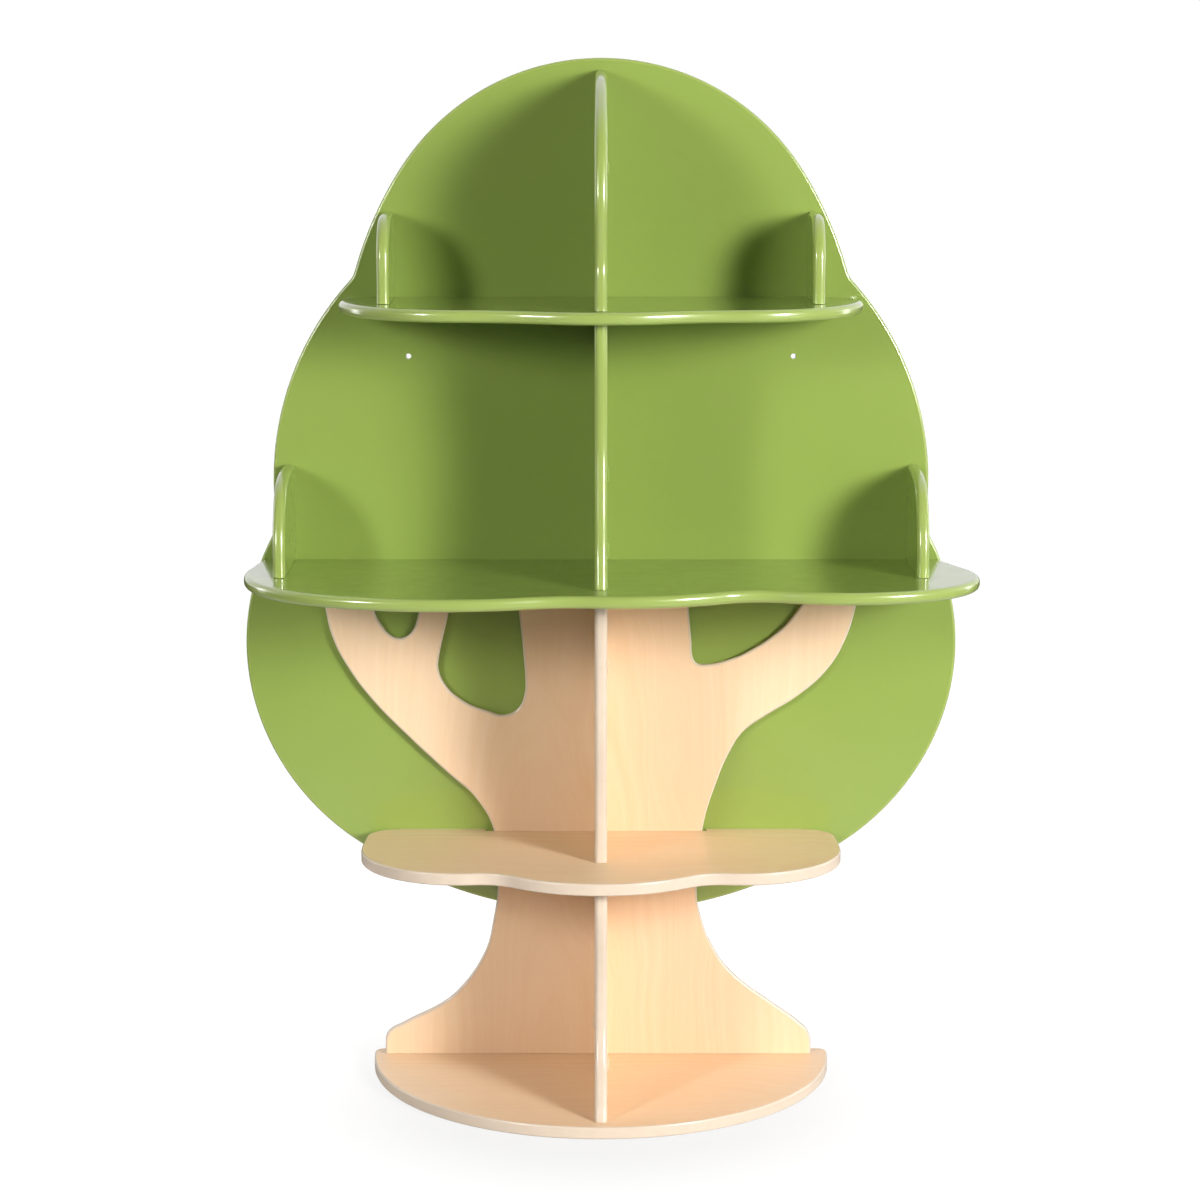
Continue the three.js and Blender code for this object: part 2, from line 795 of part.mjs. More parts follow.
const topDivider = addDivider(
  "top_divider",
  0,
  topShelfTop,
  topShelfFront - topDividerInset,
  overallHeight - topDividerDrop - topShelfTop,
  topDividerShares,
);
const upperDivider = addDivider(
  "upper_divider",
  0,
  middleShelfTop,
  middleShelfFront - upperDividerInset,
  clearHeight(middleShelfTop, topShelfTop),
  upperDividerShares,
);
const lowerDivider = addDivider(
  "lower_divider",
  0,
  lowerShelfTop,
  middleShelfFront - lowerDividerInset,
  clearHeight(lowerShelfTop, middleShelfTop),
  lowerDividerShares,
  true,
);
const baseDivider = addDivider(
  "base_divider",
  0,
  boardThickness,
  baseRadius - baseDividerInset,
  clearHeight(boardThickness, lowerShelfTop),
  baseDividerShares,
  true,
);

// Fittings: each drills its own hole through the boards that it joins

const fittings = [];

function addFitting(name, parent, geometry, material, hole, boards) {
  const mesh = new THREE.Mesh(geometry, material);
  mesh.name = name;
  parent.add(mesh);
  fittings.push({ mesh, hole, boards });
  return mesh;
}

// A countersunk screw along +Y from the face of the first board.
function addScrew(name, { head, headHeight, shank, length, tip }, position, tilt, boards) {
  const body = turned([
    [0, holeClearance],
    [head, holeClearance],
    [shank, headHeight],
    [shank, length - tip],
    [0, length],
  ]);
  const hole = turned([
    [0, -overrun],
    [head + holeClearance, -overrun],
    [head + holeClearance, holeClearance],
    [shank + holeClearance, headHeight + holeClearance],
    [shank + holeClearance, length],
    [0, length + holeClearance],
  ]);
  const screw = addFitting(name, tree, body, zincSteel(), hole, boards);
  screw.position.set(...position);
  screw.rotation.x = tilt;
}

const forward = Math.PI; // tilt of a screw driven from behind
const upward = Math.PI / 2; // tilt of a screw driven from below

// A screw from behind, through the crown.
function addBackScrew(name, kind, out, height, board) {
  addScrew(name, kind, [out, boardThickness, height], forward, [crown, board]);
}

// A screw from below, through a shelf into what stands on it.
function addRisingScrew(name, kind, out, ahead, shelfTop, boards) {
  addScrew(name, kind, [out, -ahead, shelfUnderside(shelfTop)], upward, boards);
}

// A cam in the side of a divider, its bolt in the next board, and the cap over it. The bolt runs
// along the divider in the given direction, from the cam at [forward, up].
function addCamSet(name, divider, board, place, direction, side, capMaterial) {
  const seat = new THREE.Group();
  seat.position.set(...place, 0);
  seat.rotation.z = direction;
  divider.add(seat);

  const camFace = boardThickness / 2 - holeClearance;
  const camMiddle = side * (camFace - camDepth / 2);
  const camBody = new THREE.CylinderGeometry(camRadius, camRadius, camDepth, turnedSides);
  const camHoleRadius = camRadius + holeClearance;
  const camHoleDepth = camDepth + 2 * holeClearance;
  const camHole = new THREE.CylinderGeometry(camHoleRadius, camHoleRadius, camHoleDepth + overrun, turnedSides);
  camHole.rotateX(Math.PI / 2);
  camHole.translate(0, 0, side * (boardThickness / 2 - camHoleDepth / 2 + overrun / 2) - camMiddle);
  const cam = addFitting(name + "_cam", seat, camBody.rotateX(Math.PI / 2), zincSteel(), camHole, [divider]);
  cam.position.z = camMiddle;

  const boltEnd = camSetback + camThreadLength;
  const bolt = turned([
    [0, holeClearance],
    [camBoltRadius, holeClearance],
    [camBoltRadius, camBoltHead],
    [camBoltNeck, camBoltHead],
    [camBoltNeck, camRadius],
    [camBoltRadius, camRadius],
    [camBoltRadius, camSetback],
    [camThreadRadius, camSetback],
    [camThreadRadius, boltEnd],
    [0, boltEnd],
  ]).rotateZ(-Math.PI / 2);
  const boltHole = turned([
    [0, 0],
    [camBoltRadius + holeClearance, 0],
    [camBoltRadius + holeClearance, camSetback + holeClearance],
    [camThreadRadius + holeClearance, camSetback + holeClearance],
    [camThreadRadius + holeClearance, boltEnd + holeClearance],
    [0, boltEnd + holeClearance],
  ]).rotateZ(-Math.PI / 2);
  addFitting(name + "_bolt", seat, bolt, zincSteel(), boltHole, [divider, board, cam]);

  const cap = addFitting(
    name + "_cap",
    seat,
    turned([
      [0, 0],
      [capRadius, 0],
      [capRadius, capThickness - capChamfer],
      [capRadius - capChamfer, capThickness],
      [0, capThickness],
    ]).rotateX((side * Math.PI) / 2),
    capMaterial,
    null,
    [],
  );
  cap.position.z = side * (boardThickness / 2 + holeClearance);
}

const sides = [
  ["left", -1],
  ["right", 1],
];

for (const [side, sign] of sides) {
  addBackScrew(
    "top_shelf_screw_" + side,
    boardScrew,
    sign * (topRim - topShelfScrewInset),
    topShelfTop - boardThickness / 2,
    topShelf,
  );
  addBackScrew(
    "middle_shelf_outer_screw_" + side,
    boardScrew,
    sign * (middleRim - middleShelfScrewInset),
    middleShelfTop - boardThickness / 2,
    middleShelf,
  );
  addBackScrew(
    "middle_shelf_inner_screw_" + side,
    boardScrew,
    sign * middleShelfInnerScrewOut,
    middleShelfTop - boardThickness / 2,
    middleShelf,
  );
  addBackScrew(
    "lower_shelf_screw_" + side,
    boardScrew,
    sign * (lowerNotch[sign < 0 ? 0 : 1] + lowerShelfScrewMargin),
    lowerShelfTop - boardThickness / 2,
    lowerShelf,
  );
  addBackScrew(
    "trunk_low_screw_" + side,
    trunkScrew,
    sign * trunkLowScrewOut,
    lowerShelfTop - trunkLowScrewDrop,
    trunk,
  );
  addBackScrew(
    "trunk_high_screw_" + side,
    trunkScrew,
    sign * trunkHighScrewOut,
    trunkTop - trunkHighScrewDrop,
    trunk,
  );
  const reach = sign < 0 ? trunkReachLeft : trunkReachRight;
  addBackScrew(
    "branch_screw_" + side,
    trunkScrew,
    sign * (reach - branchScrewInset),
    trunkTop - branchScrewInset,
    trunk,
  );
  addRisingScrew(
    "trunk_foot_screw_" + side,
    footScrew,
    sign * (baseRadius - trunkFootScrewInset),
    trunkBack + trunkThickness / 2,
    boardThickness,
    [base, trunk],
  );
}

// The four small dividers near the ends of the two green shelves
function addSideDividers(level, size, rim, shelf, shelfTop, shares) {
  for (const [side, sign] of sides) {
    const out = sign * (rim - size.inset);
    const name = level + "_side_divider_" + side;
    const divider = addDivider(name, out, shelfTop, size.reach, size.height, shares);
    addBackScrew(name + "_back_screw", boardScrew, out, shelfTop + sideDividerScrewRise, divider);
    addRisingScrew(name + "_foot_screw", boardScrew, out, sideDividerFootOut, shelfTop, [shelf, divider]);
  }
}

addSideDividers("top", topSideDivider, topRim, topShelf, topShelfTop, topSideDividerShares);
addSideDividers(
  "middle",
  middleSideDivider,
  middleRim,
  middleShelf,
  middleShelfTop,
  middleSideDividerShares,
);

addRisingScrew("top_divider_foot_screw", boardScrew, 0, dividerFootOut, topShelfTop, [topShelf, topDivider]);
addRisingScrew("lower_divider_foot_screw", boardScrew, 0, dividerFootOut, lowerShelfTop, [
  lowerShelf,
  lowerDivider,
]);

const backward = Math.PI; // direction of a bolt into the board behind
const downward = -Math.PI / 2; // direction of a bolt into the shelf below
const capRight = -1; // side of a divider, in its own frame
const capLeft = 1;
const backCam = (rise) => [camSetback, rise];
const footCam = (out) => [out, camSetback];

addCamSet("top_divider", topDivider, crown, backCam(topDividerCamRise), backward, capRight, greenPlastic());
addCamSet(
  "upper_divider_back",
  upperDivider,
  crown,
  backCam(upperDividerCamRise),
  backward,
  capRight,
  greenPlastic(),
);
addCamSet(
  "upper_divider_foot",
  upperDivider,
  middleShelf,
  footCam(upperFootCamOut),
  downward,
  capRight,
  greenPlastic(),
);
addCamSet(
  "lower_divider",
  lowerDivider,
  trunk,
  backCam(lowerDividerCamRise),
  backward,
  capRight,
  beigePlastic(),
);
addCamSet(
  "base_divider_back",
  baseDivider,
  trunk,
  backCam(baseDividerCamRise),
  backward,
  capLeft,
  beigePlastic(),
);
addCamSet(
  "base_divider_foot",
  baseDivider,
  base,
  footCam(baseFootCamOut),
  downward,
  capRight,
  beigePlastic(),
);

// Drills every hole, in the frame of the board that it goes through.
tree.updateMatrixWorld(true);
for (const board of new Set(fittings.flatMap(({ boards }) => boards))) {
  const holes = fittings.filter(({ boards }) => boards.includes(board));
  const drilled = holes.reduce((solid, { mesh, hole }) => {
    const placed = board.matrixWorld.clone().invert().multiply(mesh.matrixWorld);
    return solid.subtract(solidOf(hole.clone().applyMatrix4(placed)));
  }, solidOf(board.geometry));
  board.geometry = geometryOf(drilled);
}

tree.position.y = (baseRadius - boardThickness) / 2;

const bookshelf = new THREE.Group();
bookshelf.add(tree);

export default bookshelf;
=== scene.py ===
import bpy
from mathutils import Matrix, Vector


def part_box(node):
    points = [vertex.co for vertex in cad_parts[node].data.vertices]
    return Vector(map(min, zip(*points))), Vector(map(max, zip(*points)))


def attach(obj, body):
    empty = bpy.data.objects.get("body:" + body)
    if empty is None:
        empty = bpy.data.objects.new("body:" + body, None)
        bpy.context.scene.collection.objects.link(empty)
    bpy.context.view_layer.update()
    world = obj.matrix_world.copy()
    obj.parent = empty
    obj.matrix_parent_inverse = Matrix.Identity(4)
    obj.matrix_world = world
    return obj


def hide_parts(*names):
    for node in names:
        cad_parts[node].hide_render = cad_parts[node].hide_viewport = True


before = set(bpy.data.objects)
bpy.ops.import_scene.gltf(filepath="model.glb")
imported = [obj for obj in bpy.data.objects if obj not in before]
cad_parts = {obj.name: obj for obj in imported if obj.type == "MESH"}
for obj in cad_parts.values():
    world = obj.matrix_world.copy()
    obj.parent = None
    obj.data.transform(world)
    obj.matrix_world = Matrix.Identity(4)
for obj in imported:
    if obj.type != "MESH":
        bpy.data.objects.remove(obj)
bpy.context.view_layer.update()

import math
import bpy
from mathutils import Vector

# Crown panel
# One large board, the leafy crown of the tree. It is sawn to three lobes on each side, its edge is
# eased all round, and it is wrapped in glossy green film. Two holes take the wall screws, and the
# countersunk holes behind take the screws that hold shelves, dividers and trunk.

board_thickness = 0.018
arc_sagitta = 0.00004  # how far a straight step may stray from its arc
same_point = 0.00001  # points closer than this are one
smooth_below = math.radians(35)  # a sharper turn than this stays crisp
crown_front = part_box("crown_panel")[0].y
top_shelf_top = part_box("top_shelf")[1].z
middle_shelf_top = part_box("middle_shelf")[1].z


def select_none():
    """Leaves object mode with nothing selected."""
    if bpy.context.object and bpy.context.object.mode == "EDIT":
        bpy.ops.object.mode_set(mode="OBJECT")
    bpy.ops.object.select_all(action="DESELECT")


def pick(piece):
    """Selects one piece alone and makes it the active one."""
    select_none()
    piece.select_set(True)
    bpy.context.view_layer.objects.active = piece


def pencil_point(name, x, y):
    """A new piece that is one point so far, selected in edit mode."""
    select_none()
    bpy.ops.mesh.primitive_plane_add(size=board_thickness)
    piece = bpy.context.object
    piece.name = piece.data.name = name
    bpy.ops.object.mode_set(mode="EDIT")
    bpy.ops.mesh.select_mode(type="VERT")
    bpy.ops.mesh.select_all(action="SELECT")
    bpy.ops.mesh.merge(type="CENTER")
    bpy.ops.transform.translate(value=(x, y, 0))
    return piece


def pencil_line(start, end):
    """Carries the outline on in a straight line."""
    step = (end[0] - start[0], end[1] - start[1], 0)
    bpy.ops.mesh.extrude_region_move(TRANSFORM_OT_translate={"value": step})


def touching_headings(circles, first, last):
    """The directions in which the outline faces at the ends of its arcs."""
    headings = [first]
    for (ax, ay, ar), (bx, by, br) in zip(circles, circles[1:]):
        headings.append(math.atan2((by - ay) / (ar - br), (bx - ax) / (ar - br)))
    return headings + [last]


def on_circle(circle, heading):
    x, y, radius = circle
    return x + radius * math.cos(heading), y + radius * math.sin(heading)


def pencil_arcs(circles, first, last):
    """Carries the outline on along a row of circles that touch. A hollow has a radius below zero."""
    headings = touching_headings(circles, first, last)
    for (x, y, radius), begin, finish in zip(circles, headings, headings[1:]):
        swing = (finish - begin) % math.tau if radius > 0 else -((begin - finish) % math.tau)
        one_step = 2 * math.acos(1 - arc_sagitta / abs(radius))
        steps = max(3, math.ceil(abs(swing) / one_step))
        bpy.ops.mesh.spin(steps=steps, angle=-swing, center=(x, y, 0), axis=(0, 0, 1))


def hollow_between(first, second, radius):
    """The hollow of some radius between two lobes, on the right of the way from one to the other."""
    (ax, ay, ar), (bx, by, br) = first, second
    span = math.hypot(bx - ax, by - ay)
    along = ((ar + radius) ** 2 - (br + radius) ** 2 + span ** 2) / (2 * span)
    aside = math.sqrt((ar + radius) ** 2 - along ** 2)
    ux, uy = (bx - ax) / span, (by - ay) / span
    return ax + along * ux + aside * uy, ay + along * uy - aside * ux, -radius


def running_on(circle, heading, radius):
    """The circle of another radius that a circle runs into at some heading."""
    x, y, old = circle
    return x + (old - radius) * math.cos(heading), y + (old - radius) * math.sin(heading), radius


def mirrored(circle):
    x, y, radius = circle
    return -x, y, radius


def pick_faces(piece, wanted):
    """Selects, in edit mode, the faces that a test on centre and normal picks."""
    bpy.ops.mesh.select_mode(type="FACE")
    bpy.ops.mesh.select_all(action="DESELECT")
    bpy.ops.object.mode_set(mode="OBJECT")
    for face in piece.data.polygons:
        face.select = wanted(face.center, face.normal)
    bpy.ops.object.mode_set(mode="EDIT")


def saw_board(piece, thickness, rounding, segments):
    """Closes the outline, saws a board of it and rounds the edges of both faces."""
    bpy.ops.mesh.select_all(action="SELECT")
    bpy.ops.mesh.remove_doubles(threshold=same_point)
    bpy.ops.mesh.edge_face_add()
    bpy.ops.mesh.extrude_region_move(TRANSFORM_OT_translate={"value": (0, 0, thickness)})
    bpy.ops.mesh.select_all(action="SELECT")
    bpy.ops.mesh.normals_make_consistent(inside=False)
    pick_faces(piece, lambda centre, normal: abs(normal.z) > 0.9)
    bpy.ops.mesh.region_to_loop()
    bpy.ops.mesh.bevel(offset=rounding, segments=segments, profile=0.5, affect="EDGES", clamp_overlap=False)
    bpy.ops.mesh.select_all(action="SELECT")
    bpy.ops.mesh.normals_make_consistent(inside=False)


sawn_edge = 0.0005  # how far a sawn end is eased with sandpaper


def trim(place, outward, sanded=False):
    """Cuts the board off square at a plane and keeps the inner side."""
    bpy.ops.mesh.select_mode(type="VERT")
    bpy.ops.mesh.select_all(action="SELECT")
    bpy.ops.mesh.bisect(plane_co=place, plane_no=outward, use_fill=True, clear_outer=True)
    if sanded:
        bpy.ops.mesh.bevel(offset=sawn_edge, segments=1, affect="EDGES", clamp_overlap=False)


def set_in_place(piece, place, turn):
    """Turns the board and moves it to its place, and writes both into the mesh."""
    pick(piece)
    piece.rotation_euler = turn
    piece.location = place
    bpy.ops.object.transform_apply(location=True, rotation=True, scale=True)


def smooth_finish(piece):
    """Smooth over the rounded edges, crisp at the square ones, and true on the flat faces."""
    pick(piece)
    bpy.ops.object.shade_smooth_by_angle(angle=smooth_below)
    bpy.ops.object.modifier_add(type="WEIGHTED_NORMAL")
    weighted = piece.modifiers[-1]
    weighted.keep_sharp = True
    weighted.weight = 100
    bpy.ops.object.modifier_apply(modifier=weighted.name)


crown_rounding = 0.004
# Each lobe is a circle: x, y and radius.
crown_top_radius = 0.349
crown_top_lobe = (0, top_shelf_top - 0.004, crown_top_radius)
crown_flank = running_on(crown_top_lobe, math.radians(33), 0.560)
crown_middle_lobe = (0.045, middle_shelf_top + 0.115, 0.440)
crown_lower_lobe = (0.180, middle_shelf_top - 0.130, 0.350)
crown_hip = running_on(crown_lower_lobe, math.radians(-21.5), 0.375)
crown_bottom_radius = 0.654
crown_bottom = running_on(
    crown_hip,
    -math.acos(crown_hip[0] / (crown_bottom_radius - crown_hip[2])),
    crown_bottom_radius,
)
right_side = [
    crown_hip,
    crown_lower_lobe,
    hollow_between(crown_lower_lobe, crown_middle_lobe, 0.025),
    crown_middle_lobe,
    hollow_between(crown_middle_lobe, crown_flank, 0.037),
    crown_flank,
]
left_side = [mirrored(circle) for circle in reversed(right_side)]
downward = -math.pi / 2
upright = (math.pi / 2, 0, 0)

crown = pencil_point("crown", *on_circle(crown_bottom, downward))
pencil_arcs([crown_bottom, *right_side, crown_top_lobe, *left_side, crown_bottom], downward, downward)
saw_board(crown, board_thickness, crown_rounding, segments=6)
set_in_place(crown, (0, crown_front + board_thickness, 0), upright)

# The wall holes are bored right through.
wall_hole_radius = 0.004
wall_hole_out = 0.283
wall_hole_height = top_shelf_top - 0.0875


def drill(piece, cutter):
    """Takes the cutter's shape out of the piece and puts the cutter away."""
    pick(piece)
    bpy.ops.object.modifier_add(type="BOOLEAN")
    drilling = piece.modifiers[-1]
    drilling.operation = "DIFFERENCE"
    drilling.solver = "EXACT"
    drilling.object = cutter
    bpy.ops.object.modifier_apply(modifier=drilling.name)
    bpy.data.objects.remove(cutter)


for side in (-1, 1):
    select_none()
    bpy.ops.mesh.primitive_cylinder_add(
        vertices=48,
        radius=wall_hole_radius,
        depth=4 * board_thickness,
        location=(side * wall_hole_out, crown_front, wall_hole_height),
        rotation=upright,
    )
    drill(crown, bpy.context.object)

# Countersunk screws: one that joins two boards, one that holds the trunk, and a slim one that stands
# in a divider's foot. The sizes are the head's radius and height, the shank's radius, the length and
# the length of the tip.
screw_sizes = {
    "board": (0.005, 0.004, 0.0035, 0.050, 0.004),
    "trunk": (0.004, 0.003, 0.002, 0.026, 0.003),
    "foot": (0.004, 0.003, 0.002, 0.050, 0.003),
}
slim_head = 0.009  # only the heads of the trunk's and the feet's screws are narrower
short_screw = 0.040  # only the trunk's screws are shorter
bore_play = 0.0003
behind = (0, 0, math.pi)  # the turn of a screw driven from behind
beneath = upright  # and of one driven from below


def turned(name, profile, steps):
    """Turns a closed body round its own length, which lies along Y. The profile is radius and length."""
    piece = pencil_point(name, *profile[0])
    for start, end in zip(profile, profile[1:]):
        pencil_line(start, end)
    bpy.ops.mesh.select_all(action="SELECT")
    bpy.ops.mesh.spin(steps=steps, angle=math.tau, center=(0, 0, 0), axis=(0, 1, 0))
    bpy.ops.mesh.select_all(action="SELECT")
    bpy.ops.mesh.remove_doubles(threshold=same_point)
    bpy.ops.mesh.normals_make_consistent(inside=False)
    return piece


def screw_stands(node):
    """Which screw it is, where the middle of its head's face is, and how it is turned."""
    low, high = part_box(node)
    middle = (low + high) / 2
    width, depth, height = high - low
    kind = "foot" if width < slim_head else "board"
    if height > depth:
        return kind, (middle.x, middle.y, low.z), beneath
    if depth < short_screw:
        kind = "trunk"
    return kind, (middle.x, high.y, middle.z), behind


def bore_for(piece, *nodes):
    """Bores and countersinks the piece for the named screws."""
    for node in nodes:
        kind, place, turn = screw_stands(node)
        head, head_height, shank, length, _ = screw_sizes[kind]
        bore = turned("bore", [
            (0, -2 * bore_play),
            (head + 2 * bore_play, -2 * bore_play),
            (shank + bore_play, head_height),
            (shank + bore_play, length + bore_play),
            (0, length + bore_play),
        ], 24)
        set_in_place(bore, place, turn)
        drill(piece, bore)


def both_hands(*stems):
    return [stem + hand for stem in stems for hand in ("left", "right")]


shelf_screws = both_hands(
    "top_shelf_screw_", "middle_shelf_outer_screw_", "middle_shelf_inner_screw_", "lower_shelf_screw_"
)
trunk_screws = both_hands("trunk_low_screw_", "trunk_high_screw_", "branch_screw_")
side_back_screws = [
    level + "_side_divider_" + hand + "_back_screw"
    for level in ("top", "middle")
    for hand in ("left", "right")
]
bore_for(crown, *shelf_screws, *trunk_screws, *side_back_screws)
smooth_finish(crown)


def fresh_finish(name):
    """A new material, with its nodes, a way to add one and its shader."""
    material = bpy.data.materials.new(name)
    material.use_nodes = True
    tree = material.node_tree
    shader = tree.nodes["Principled BSDF"]

    def add(kind, inputs=None, **settings):
        node = tree.nodes.new(kind)
        for key, value in settings.items():
            setattr(node, key, value)
        for key, value in (inputs or {}).items():
            if isinstance(value, bpy.types.NodeSocket):
                tree.links.new(value, node.inputs[key])
            else:
                node.inputs[key].default_value = value
        return node

    return material, tree, add, shader


def tone_between(tree, add, shader, noise, dark, light):
    """Lets a noise move the colour between two tones."""
    tone = add("ShaderNodeMix", {"Factor": noise, "A": dark, "B": light}, data_type="RGBA")
    tree.links.new(tone.outputs["Result"], shader.inputs["Base Color"])


def sheen_between(tree, add, shader, noise, smooth, rough):
    """Lets a noise move the roughness between two values."""
    sheen = add(
        "ShaderNodeMapRange",
        {"Value": noise, "From Min": 0.3, "From Max": 0.7, "To Min": smooth, "To Max": rough},
    )
    tree.links.new(sheen.outputs["Result"], shader.inputs["Roughness"])


def film_finish(name, dark, light):
    """Glossy green film: faint clouds in its colour, a fine orange peel and a clear, softened polish."""
    material, tree, add, shader = fresh_finish(name)
    place = add("ShaderNodeTexCoord").outputs["Object"]
    clouds = add("ShaderNodeTexNoise", {"Vector": place, "Scale": 5, "Detail": 3})
    tone_between(tree, add, shader, clouds.outputs["Fac"], dark, light)
    handling = add("ShaderNodeTexNoise", {"Vector": place, "Scale": 38, "Detail": 6, "Roughness": 0.65})
    sheen_between(tree, add, shader, handling.outputs["Fac"], 0.28, 0.36)
    peel = add("ShaderNodeTexNoise", {"Vector": place, "Scale": 260, "Detail": 2})
    peel_bump = add("ShaderNodeBump", {"Height": peel.outputs["Fac"], "Strength": 0.02, "Distance": 0.001})
    tree.links.new(peel_bump.outputs["Normal"], shader.inputs["Normal"])
    shader.inputs["Coat Weight"].default_value = 1.0
    shader.inputs["Coat Roughness"].default_value = 0.065
    return material


def edged(piece, face_finish, edge_finish, flat_axis):
    """Gives the flat faces one finish and the rounded edge the other."""
    select_none()
    piece.data.materials.append(face_finish)
    piece.data.materials.append(edge_finish)
    for face in piece.data.polygons:
        face.material_index = 0 if abs(face.normal[flat_axis]) > 0.995 else 1


# On the rounded edges the film gets a paler, whiter colour. This is a painted sheen that stands in for the
# gloss on those edges.
green_film = film_finish("green_film", (0.268, 0.368, 0.070, 1), (0.294, 0.398, 0.081, 1))
green_painted_sheen = film_finish("green_film_painted_sheen", (0.322, 0.416, 0.096, 1), (0.350, 0.446, 0.110, 1))
edged(crown, green_film, green_painted_sheen, 1)
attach(crown, "root")
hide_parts("crown_panel")

# Trunk
# A thinner maple-faced board on the front of the crown, sawn to a trunk that spreads into two
# branches and a twig. Three forks are cut between them, through which the green shows. Its edge is
# eased and closed with pale edging.

trunk_thickness = 0.012
trunk_rounding = 0.003
trunk_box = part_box("trunk_panel")
trunk_foot = trunk_box[0].z
trunk_head = trunk_box[1].z
trunk_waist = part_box("lower_shelf")[1].z - 0.102
past_trim = 0.030  # how far an outline runs on beyond the place where it is cut off

# Shares of the way out from the waist, and of the way up.
left_foot = [(1, 0), (1, 0.07), (0.991, 0.116), (0.951, 0.154), (0.848, 0.192), (0.744, 0.231)]
left_foot += [(0.628, 0.269), (0.525, 0.307), (0.405, 0.365), (0.298, 0.4415), (0.214, 0.517)]
left_foot += [(0.149, 0.593), (0.085, 0.689), (0.057, 0.765), (0.037, 0.841), (0.016, 0.92)]
left_branch = [(0, 0), (0.013, 0.2), (0.12, 0.308), (0.264, 0.379), (0.482, 0.489), (0.696, 0.607)]
left_branch += [(0.838, 0.71), (0.924, 0.802), (0.963, 0.89), (1, 1)]
right_foot = [(1, 0), (1, 0.085), (0.99, 0.116), (0.964, 0.154), (0.895, 0.2), (0.844, 0.231)]
right_foot += [(0.768, 0.269), (0.691, 0.307), (0.575, 0.365), (0.426, 0.4415), (0.306, 0.517)]
right_foot += [(0.212, 0.593), (0.125, 0.7), (0.08, 0.765), (0.046, 0.841), (0.018, 0.915)]
right_branch = [(0, 0), (0.028, 0.2), (0.128, 0.371), (0.205, 0.458), (0.281, 0.514), (0.409, 0.56)]
right_branch += [(0.611, 0.623), (0.782, 0.698), (0.902, 0.796), (0.966, 0.903), (1, 1)]
# Shares of the fork's width, from left to right, and of its depth.
small_fork = [(0, 0), (0.148, 0.596), (0.273, 0.818), (0.42, 0.96), (0.545, 1), (0.68, 0.97)]
small_fork += [(0.795, 0.87), (0.865, 0.7), (1, 0)]
large_fork = [(0, 0), (-0.124, 0.287), (-0.236, 0.49), (-0.29, 0.6), (-0.3, 0.67), (-0.19, 0.787)]
large_fork += [(0.124, 0.903), (0.528, 0.972), (0.798, 1), (1.034, 0.954), (1.146, 0.843)]
large_fork += [(1.157, 0.75), (1.124, 0.556), (1, 0)]
right_fork = [(0, 0), (0.021, 0.374), (0.046, 0.755), (0.056, 0.92), (0.085, 0.985), (0.145, 1)]
right_fork += [(0.371, 0.928), (0.52, 0.827), (0.675, 0.683), (0.82, 0.482), (1, 0)]


def trunk_edge(foot_shares, branch_shares, foot, waist, reach):
    """One edge of the trunk, from the foot up to the end of the branch."""
    rise = trunk_waist - trunk_foot
    growth = trunk_head - trunk_waist
    low = [(waist + out * (foot - waist), trunk_foot + up * rise) for out, up in foot_shares]
    high = [(waist + out * (reach - waist), trunk_waist + up * growth) for out, up in branch_shares]
    return low + high


def fork(shares, left, right, depth):
    """A fork's edge, from its right end down and round to its left end."""
    return [(left + across * (right - left), trunk_head - down * depth) for across, down in reversed(shares)]


def past_both_ends(knots):
    """The same knots with one more straight above or below each end, beyond the trim."""
    def beyond(end, inner):
        return end[0], end[1] + math.copysign(past_trim, end[1] - inner[1])
    return [beyond(knots[0], knots[1]), *knots, beyond(knots[-1], knots[-2])]


def pencil_curve(name, runs):
    """A closed outline of smooth runs of knots, with a corner at both ends of each run."""
    select_none()
    bpy.ops.curve.primitive_bezier_curve_add()
    line = bpy.context.object
    line.name = name
    line.data.dimensions = "2D"
    line.data.fill_mode = "NONE"
    line.data.resolution_u = 14
    spline = line.data.splines[0]
    knots = [(knot, i in (0, len(run) - 1)) for run in runs for i, knot in enumerate(run)]
    spline.bezier_points.add(len(knots) - len(spline.bezier_points))
    spline.use_cyclic_u = True
    for bezier, ((x, y), corner) in zip(spline.bezier_points, knots):
        bezier.co = (x, y, 0)
        bezier.handle_left_type = bezier.handle_right_type = "VECTOR" if corner else "AUTO"
    bpy.ops.object.convert(target="MESH")
    piece = bpy.context.object
    piece.data.name = name
    bpy.ops.object.mode_set(mode="EDIT")
    return piece


right_edge = trunk_edge(right_foot, right_branch, foot=0.319, waist=0.145, reach=0.388)
left_edge = [(-x, y) for x, y in trunk_edge(left_foot, left_branch, foot=0.328, waist=0.157, reach=0.420)]
trunk = pencil_curve("trunk", [
    past_both_ends(right_edge),
    past_both_ends(fork(right_fork, left=0.126, right=0.320, depth=0.139)),
    past_both_ends(fork(large_fork, left=-0.216, right=-0.127, depth=0.216)),
    past_both_ends(fork(small_fork, left=-0.350, right=-0.262, depth=0.099)),
    past_both_ends(list(reversed(left_edge))),
])
saw_board(trunk, trunk_thickness, trunk_rounding, segments=5)
trim((0, trunk_foot, 0), (0, -1, 0), sanded=True)
trim((0, trunk_head, 0), (0, 1, 0))


